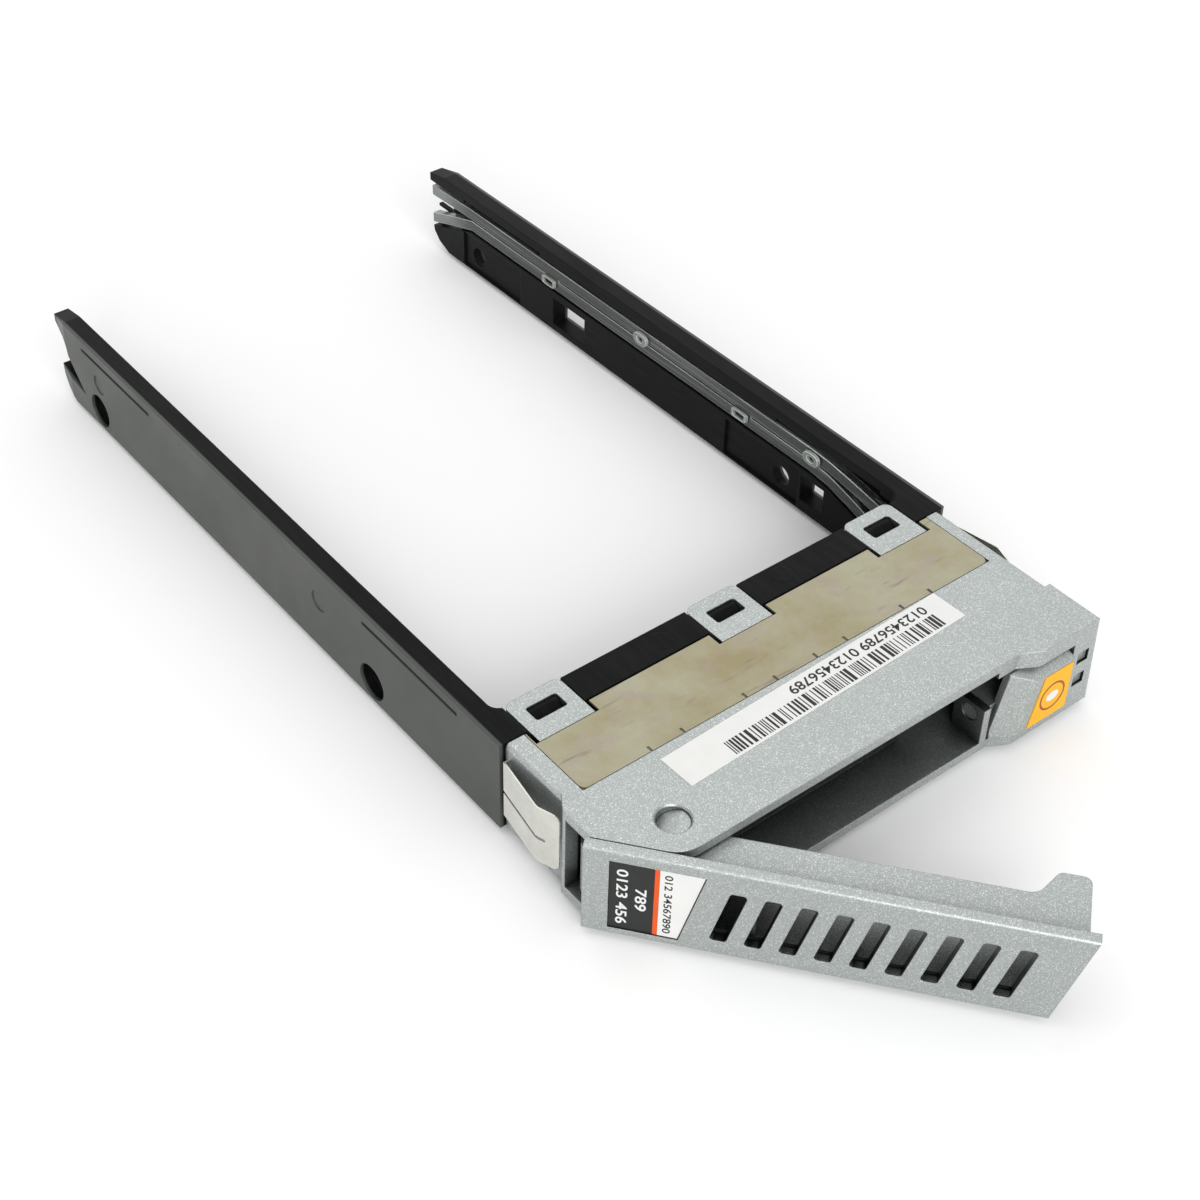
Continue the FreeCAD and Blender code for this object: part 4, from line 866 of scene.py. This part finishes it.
@dataclass
class RailFrame:
    """The black moulding, with the light guide in its right rail."""

    finishes: Finishes
    channel_face: float = 35.12 * MM
    proud: float = 0.45 * MM
    steps: int = 40
    shoulder: float = 0.9
    rim: float = 0.08
    loop_half: Pair = (1.75 * MM, 0.8 * MM)
    loop_power: float = 0.35
    loop_hole: float = 0.62
    loop_places: tuple[Pair, ...] = ((66.4 * MM, 9.3 * MM), (113.4 * MM, 9.0 * MM))
    boss_half: Pair = (1.7 * MM, 1.15 * MM)
    boss_power: float = 0.8
    boss_hole: float = 0.35
    boss_places: tuple[Pair, ...] = ((50.85 * MM, 10.5 * MM), (89.7 * MM, 10.4 * MM))

    def hoop(self, clip: Clip) -> None:
        """A small moulded loop or boss on the light guide, as rings of corners round its middle.

        Each corner's share of a half axis is the cosine or sine of its angle, kept in sign and raised
        to a power: 1 gives an oval, less gives a rounded rectangle. Four rings follow each other:
        outer foot, outer shoulder, inner shoulder, inner foot.

        Args:
            clip: its place and form.
        """
        angle = np.linspace(0.0, FULL_TURN, self.steps, endpoint=False)
        around = np.stack([np.cos(angle), np.sin(angle)], axis=1)
        around = np.sign(around) * np.abs(around) ** clip.power * np.array(clip.half)
        rings = []
        for share, height in ((1.0, 0.0), (self.shoulder, 1.0), (clip.hole + self.rim, 1.0), (clip.hole, 0.0)):
            level = np.full((self.steps, 1), self.channel_face - height * self.proud)
            rings.append(np.concatenate([level, np.array(clip.place) + share * around], axis=1))
        new_piece(clip.name, np.concatenate(rings), closed_bands(self.steps, len(rings), True), "caddy",
                  self.finishes[Finish.FROSTED])

    def build(self) -> None:
        """Dress the rails and the light guide, and set the small clips on the guide."""
        self.finishes.dress("rail_frame", Finish.BLACK)
        self.finishes.dress("light_guide", Finish.CLEAR)
        for number, place in enumerate(self.loop_places):
            self.hoop(Clip("guide_loop_%d" % number, place, self.loop_half, self.loop_power, self.loop_hole))
        for number, place in enumerate(self.boss_places):
            self.hoop(Clip("guide_boss_%d" % number, place, self.boss_half, self.boss_power, self.boss_hole))


@dataclass
class Bezel:
    """The cast bezel with its springs, its contact plate and the label on top."""

    finishes: Finishes
    label_turn: float = math.radians(1.85)
    label_length: float = 47.9 * MM
    label_width: float = 5.5 * MM
    label_middle_y: float = 12.85 * MM
    bars: BarRow = BarRow(37.0 * MM, 2.4 * MM, 0.17 * MM, (3.2 * MM, 2.75 * MM), 7)
    figures: Figures = Figures("top_label_figures", "0123456789 0123456789", (3.2 * MM, 0.75 * MM),
                               1.5 * MM, 24.4 * MM, Finish.INK, "label_dark")

    def label_sheet(self) -> Sheet:
        """Frame of the top label, which is read from the rear.

        Returns:
            The frame.
        """
        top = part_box("top_label")[1].z
        along = Vector((-math.cos(self.label_turn), -math.sin(self.label_turn), 0.0))
        across = Vector((math.sin(self.label_turn), -math.cos(self.label_turn), 0.0))
        middle = Vector((0.0, self.label_middle_y, top))
        corner = middle - along * self.label_length / 2 - across * self.label_width / 2
        return Sheet(corner, along, across)

    def print_label(self) -> None:
        """Bars and plain figures of the top label."""
        sheet = self.label_sheet()
        corners, faces = slabs(sheet, *self.bars.corners(), 0.0, INK_THICK)
        new_piece("top_label_bars", corners, faces, "caddy", self.finishes[Finish.INK])
        print_figures(self.figures, sheet, "caddy", self.finishes, INK_THICK)

    def build(self) -> None:
        """Dress the bezel and what sits on it, and print its label."""
        dress = self.finishes.dress
        dress("bezel", Finish.SILVER)
        dress("emi_contact_plate", Finish.CONTACT)
        for node in ("emi_spring_left", "emi_spring_right", "emi_finger_strip"):
            dress(node, Finish.SPRING)
        dress("top_label", Finish.WHITE)
        self.print_label()


@dataclass
class WireSprings:
    """The two wire springs of the lever and the button."""

    finishes: Finishes
    torsion_wire: float = 0.7 * MM
    weld: float = 0.001 * MM
    coil_foot: Place = (26.0 * MM, 7.4 * MM, 1.4 * MM)
    coil_left: float = 0.72

    def torsion(self) -> None:
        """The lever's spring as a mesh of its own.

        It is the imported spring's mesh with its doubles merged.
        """
        node = frame["nodes"]["lever_spring"]
        low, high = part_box("lever_spring")
        mesh = node.data.copy()
        mesh.transform(node.matrix_world)
        shell = bmesh.new()
        shell.from_mesh(mesh)
        bmesh.ops.remove_doubles(shell, verts=shell.verts, dist=self.weld)
        shell.to_mesh(mesh)
        shell.free()
        piece = link_piece("lever_torsion_spring", mesh, self.finishes[Finish.SPRING])
        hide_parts("lever_spring")
        pivot = Vector(joint_named("lever_swing")["pos_m"])
        low.z + self.torsion_wire
        high.z - self.torsion_wire
        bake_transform(piece)

    def build(self) -> None:
        """Set the torsion spring, and dress the button's coil and give it a mesh of its own."""
        self.torsion()
        self.finishes.dress("button_spring", Finish.SPRING)
        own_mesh(frame["nodes"]["button_spring"])


@dataclass
class Lever:
    """The ejector lever with the label in its face."""

    finishes: Finishes
    left_end: float = 9.37 * MM
    label_margin: float = 3.3 * MM
    label_low: float = 1.3 * MM
    label_height: float = 11.5 * MM
    label_lift: float = 0.15 * MM
    fields: tuple[Field, ...] = (
        Field("lever_label_white", Finish.WHITE, "label_white", (5.9 * MM, 0.0), (8.3 * MM, 11.5 * MM), 0.25),
        Field("lever_label_stripe", Finish.ORANGE, "label_amber", (5.3 * MM, 0.0), (5.9 * MM, 11.5 * MM)),
    )
    figures: tuple[Figures, ...] = (
        Figures("lever_label_low_figures", "0123 456", (1.1 * MM, 0.85 * MM), 1.35 * MM, 9.6 * MM,
                Finish.WHITE, "label_white"),
        Figures("lever_label_high_figures", "789", (3.9 * MM, 3.1 * MM), 1.35 * MM, 3.9 * MM,
                Finish.WHITE, "label_white"),
        Figures("lever_label_long_figures", "012 34567890", (0.7 * MM, 6.5 * MM), 0.95 * MM, 10.2 * MM,
                Finish.INK, "label_dark"),
    )

    def sheet(self) -> Sheet:
        """Frame of the label: its lower left corner, as it stands on the open lever.

        Returns:
            The frame.
        """
        joint = joint_named("lever_swing")
        swing = math.radians(max(joint["range_deg"]))
        pivot = Vector(joint["pos_m"])
        along = Vector((math.cos(swing), -math.sin(swing), 0.0))
        inward = Vector((math.sin(swing), math.cos(swing), 0.0))
        corner = (pivot + along * (self.label_margin - self.left_end)
                  - inward * (pivot.y - self.label_lift))
        corner.z = self.label_low
        return Sheet(corner, along, Vector((0.0, 0.0, 1.0)))

    def print_label(self) -> None:
        """White ground at the right, orange stripe, and plain figures that are read from above."""
        sheet = self.sheet()
        for field in self.fields:
            corners, faces = slabs(sheet, np.array([field.low]), np.array([field.high]), field.lean, INK_THICK)
            new_piece(field.name, corners, faces, "lever", self.finishes[field.finish])
        down = Sheet(sheet.corner + sheet.across * self.label_height, -sheet.across, sheet.along)
        for figures in self.figures:
            print_figures(figures, down, "lever", self.finishes, 2 * INK_THICK)

    def build(self) -> None:
        """Dress the lever and print its label."""
        self.finishes.dress("lever", Finish.SILVER)
        self.finishes.dress("lever_label", Finish.INK)
        self.print_label()


@dataclass
class ReleaseButton:
    """The release button with its amber label."""

    finishes: Finishes
    middle: Pair = (29.6 * MM, 5.95 * MM)
    ring_radius: float = 2.35 * MM
    ring_width: float = 0.33 * MM
    dot_half: Pair = (1.15 * MM, 0.8 * MM)
    dot_hole: float = 0.02
    steps: int = 64

    def ring(self, name: str, outer: Pair, inner: float, lift: float, finish: Finish) -> None:
        """An elliptic disc or ring on the button's label.

        A corner's place is the middle plus the half axes times the cosine and sine of its angle; the
        inner edge of a ring has the same angles.

        Args:
            name: the piece's name.
            outer: half axes along X and Z.
            inner: share of the half axes at the hole's edge.
            lift: height of its face over the label.
            finish: its finish.
        """
        angle = np.linspace(0.0, FULL_TURN, self.steps, endpoint=False)
        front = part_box("button_label")[0].y - lift
        edge = np.stack([outer[0] * np.cos(angle), np.zeros(self.steps), outer[1] * np.sin(angle)], axis=1)
        middle = np.array([self.middle[0], front, self.middle[1]])
        corners = np.concatenate([middle + inner * edge, middle + edge])
        new_piece(name, corners, closed_bands(self.steps, 2, False), "button", self.finishes[finish])

    def build(self) -> None:
        """Dress the button and its label, with a ring and a pale dot on it."""
        self.finishes.dress("release_button", Finish.SILVER)
        self.finishes.dress("button_label", Finish.AMBER)
        share = 1.0 - self.ring_width / self.ring_radius
        self.ring("button_label_ring", (self.ring_radius, self.ring_radius), share, INK_THICK,
                  Finish.RUST)
        self.ring("button_label_dot", self.dot_half, self.dot_hole, 2.0 * INK_THICK, Finish.WHITE)


# ---------------------------------------------------------------------------------------------
# Studio
# ---------------------------------------------------------------------------------------------
@dataclass(frozen=True)
class SoftBox:
    """A square area lamp: its middle, the side of its square and its power in watts."""

    name: str
    place: Place
    side: float
    power: float


@dataclass
class Studio:
    """Pale floor, soft light and the camera."""

    camera_place: Place = (-0.14138, -0.11389, 0.19488)
    camera_right: Place = (0.80678, -0.59069, -0.01409)
    camera_down: Place = (-0.38064, -0.50134, -0.77703)
    camera_view: Place = (0.45191, 0.63225, -0.62931)
    focal_per_frame: float = 2060.5 / 1200.0
    sensor_width: float = 36.0
    shift: Pair = (0.09625, -0.0808)
    nearest: float = 10.0 * MM
    floor_size: float = 12.0
    floor_gap: float = 0.02 * MM
    floor_colour: Colour = (0.45, 0.45, 0.45)
    floor_seen: Colour = (1.0, 1.0, 1.0)
    floor_roughness: float = 0.9
    sky: float = 0.64
    aim: Place = (0.0, 60.0 * MM, 0.0)
    lamps: tuple[SoftBox, ...] = (
        SoftBox("key", (-0.35, 0.55, 2.1), 1.7, 6.0),
        SoftBox("fill", (-0.7, -1.6, 0.8), 1.5, 31.0),
        SoftBox("back", (0.75, 1.1, 1.0), 1.4, 2.5),
    )

    def floor(self) -> None:
        """A large plane under the lowest point of the caddy, clear from below."""
        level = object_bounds()[0][2] - self.floor_gap
        signs = np.array([[-1.0, -1.0], [1.0, -1.0], [1.0, 1.0], [-1.0, 1.0]])
        corners = np.concatenate([self.floor_size * signs, np.full((len(signs), 1), level)], axis=1)
        mesh = bpy.data.meshes.new("floor")
        mesh.from_pydata(corners.tolist(), [], [(0, 1, 2, 3)])
        plane = bpy.data.objects.new("floor", mesh)
        bpy.context.scene.collection.objects.link(plane)
        graph = Graph("floor_paper")
        colour = graph.mix(seen_directly(graph.tree), self.floor_colour, self.floor_seen)
        paper = graph.surface(None, Base_Color=colour, Roughness=self.floor_roughness,
                              Specular_IOR_Level=0.0)
        sides = graph.node("MixShader")
        graph.link(graph.node("NewGeometry").outputs["Backfacing"], sides.inputs["Fac"])
        graph.link(paper.outputs["BSDF"], sides.inputs[1])
        graph.link(graph.node("BsdfTransparent").outputs["BSDF"], sides.inputs[2])
        graph.link(sides.outputs["Shader"], graph.output.inputs["Surface"])
        mesh.materials.append(graph.material)
        plane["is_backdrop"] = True

    def world(self) -> None:
        """An even sky, white to the camera, in reflections and through clear plastic."""
        world = bpy.data.worlds.new("studio")
        bpy.context.scene.world = world
        world.use_nodes = True
        tree = world.node_tree
        tree.nodes.clear()
        sides = tree.nodes.new("ShaderNodeMixShader")
        for number, level in enumerate((self.sky, 1.0)):
            sky = tree.nodes.new("ShaderNodeBackground")
            sky.inputs["Color"].default_value = WHITE_LIGHT
            sky.inputs["Strength"].default_value = level
            tree.links.new(sky.outputs["Background"], sides.inputs[number + 1])
        tree.links.new(seen_directly(tree), sides.inputs["Fac"])
        output = tree.nodes.new("ShaderNodeOutputWorld")
        tree.links.new(sides.outputs["Shader"], output.inputs["Surface"])

    def lamp(self, box: SoftBox) -> None:
        """A square soft box aimed at the caddy.

        Args:
            box: its place, size and power.
        """
        light = bpy.data.lights.new(box.name, "AREA")
        light.size = box.side
        light.energy = box.power
        holder = bpy.data.objects.new(box.name, light)
        bpy.context.scene.collection.objects.link(holder)
        holder.location = box.place
        holder.rotation_euler = (Vector(self.aim) - Vector(box.place)).to_track_quat("-Z", "Y").to_euler()

    def camera(self) -> None:
        """The camera, whose axes are given as directions in the frame."""
        data = bpy.data.cameras.new("view")
        data.sensor_width = self.sensor_width
        data.lens = self.focal_per_frame * self.sensor_width
        data.shift_x, data.shift_y = self.shift
        data.clip_start = self.nearest
        holder = bpy.data.objects.new("view", data)
        bpy.context.scene.collection.objects.link(holder)
        axes = Matrix((Vector(self.camera_right), -Vector(self.camera_down), -Vector(self.camera_view)))
        holder.matrix_world = Matrix.Translation(self.camera_place) @ axes.transposed().to_4x4()
        bpy.context.scene.camera = holder

    def build(self) -> None:
        """Set the stage."""
        self.floor()
        self.world()
        for box in self.lamps:
            self.lamp(box)
        self.camera()
        bpy.context.scene.view_settings.view_transform = "Standard"


def main() -> None:
    """Build the caddy's looks in order."""
    logging.basicConfig(level=logging.INFO, format="%(name)s %(message)s")
    finishes = Finishes()
    for part in (RailFrame(finishes), Bezel(finishes), WireSprings(finishes), Lever(finishes),
                 ReleaseButton(finishes)):
        part.build()
    Studio().build()


if __name__ == "__main__":
    main()
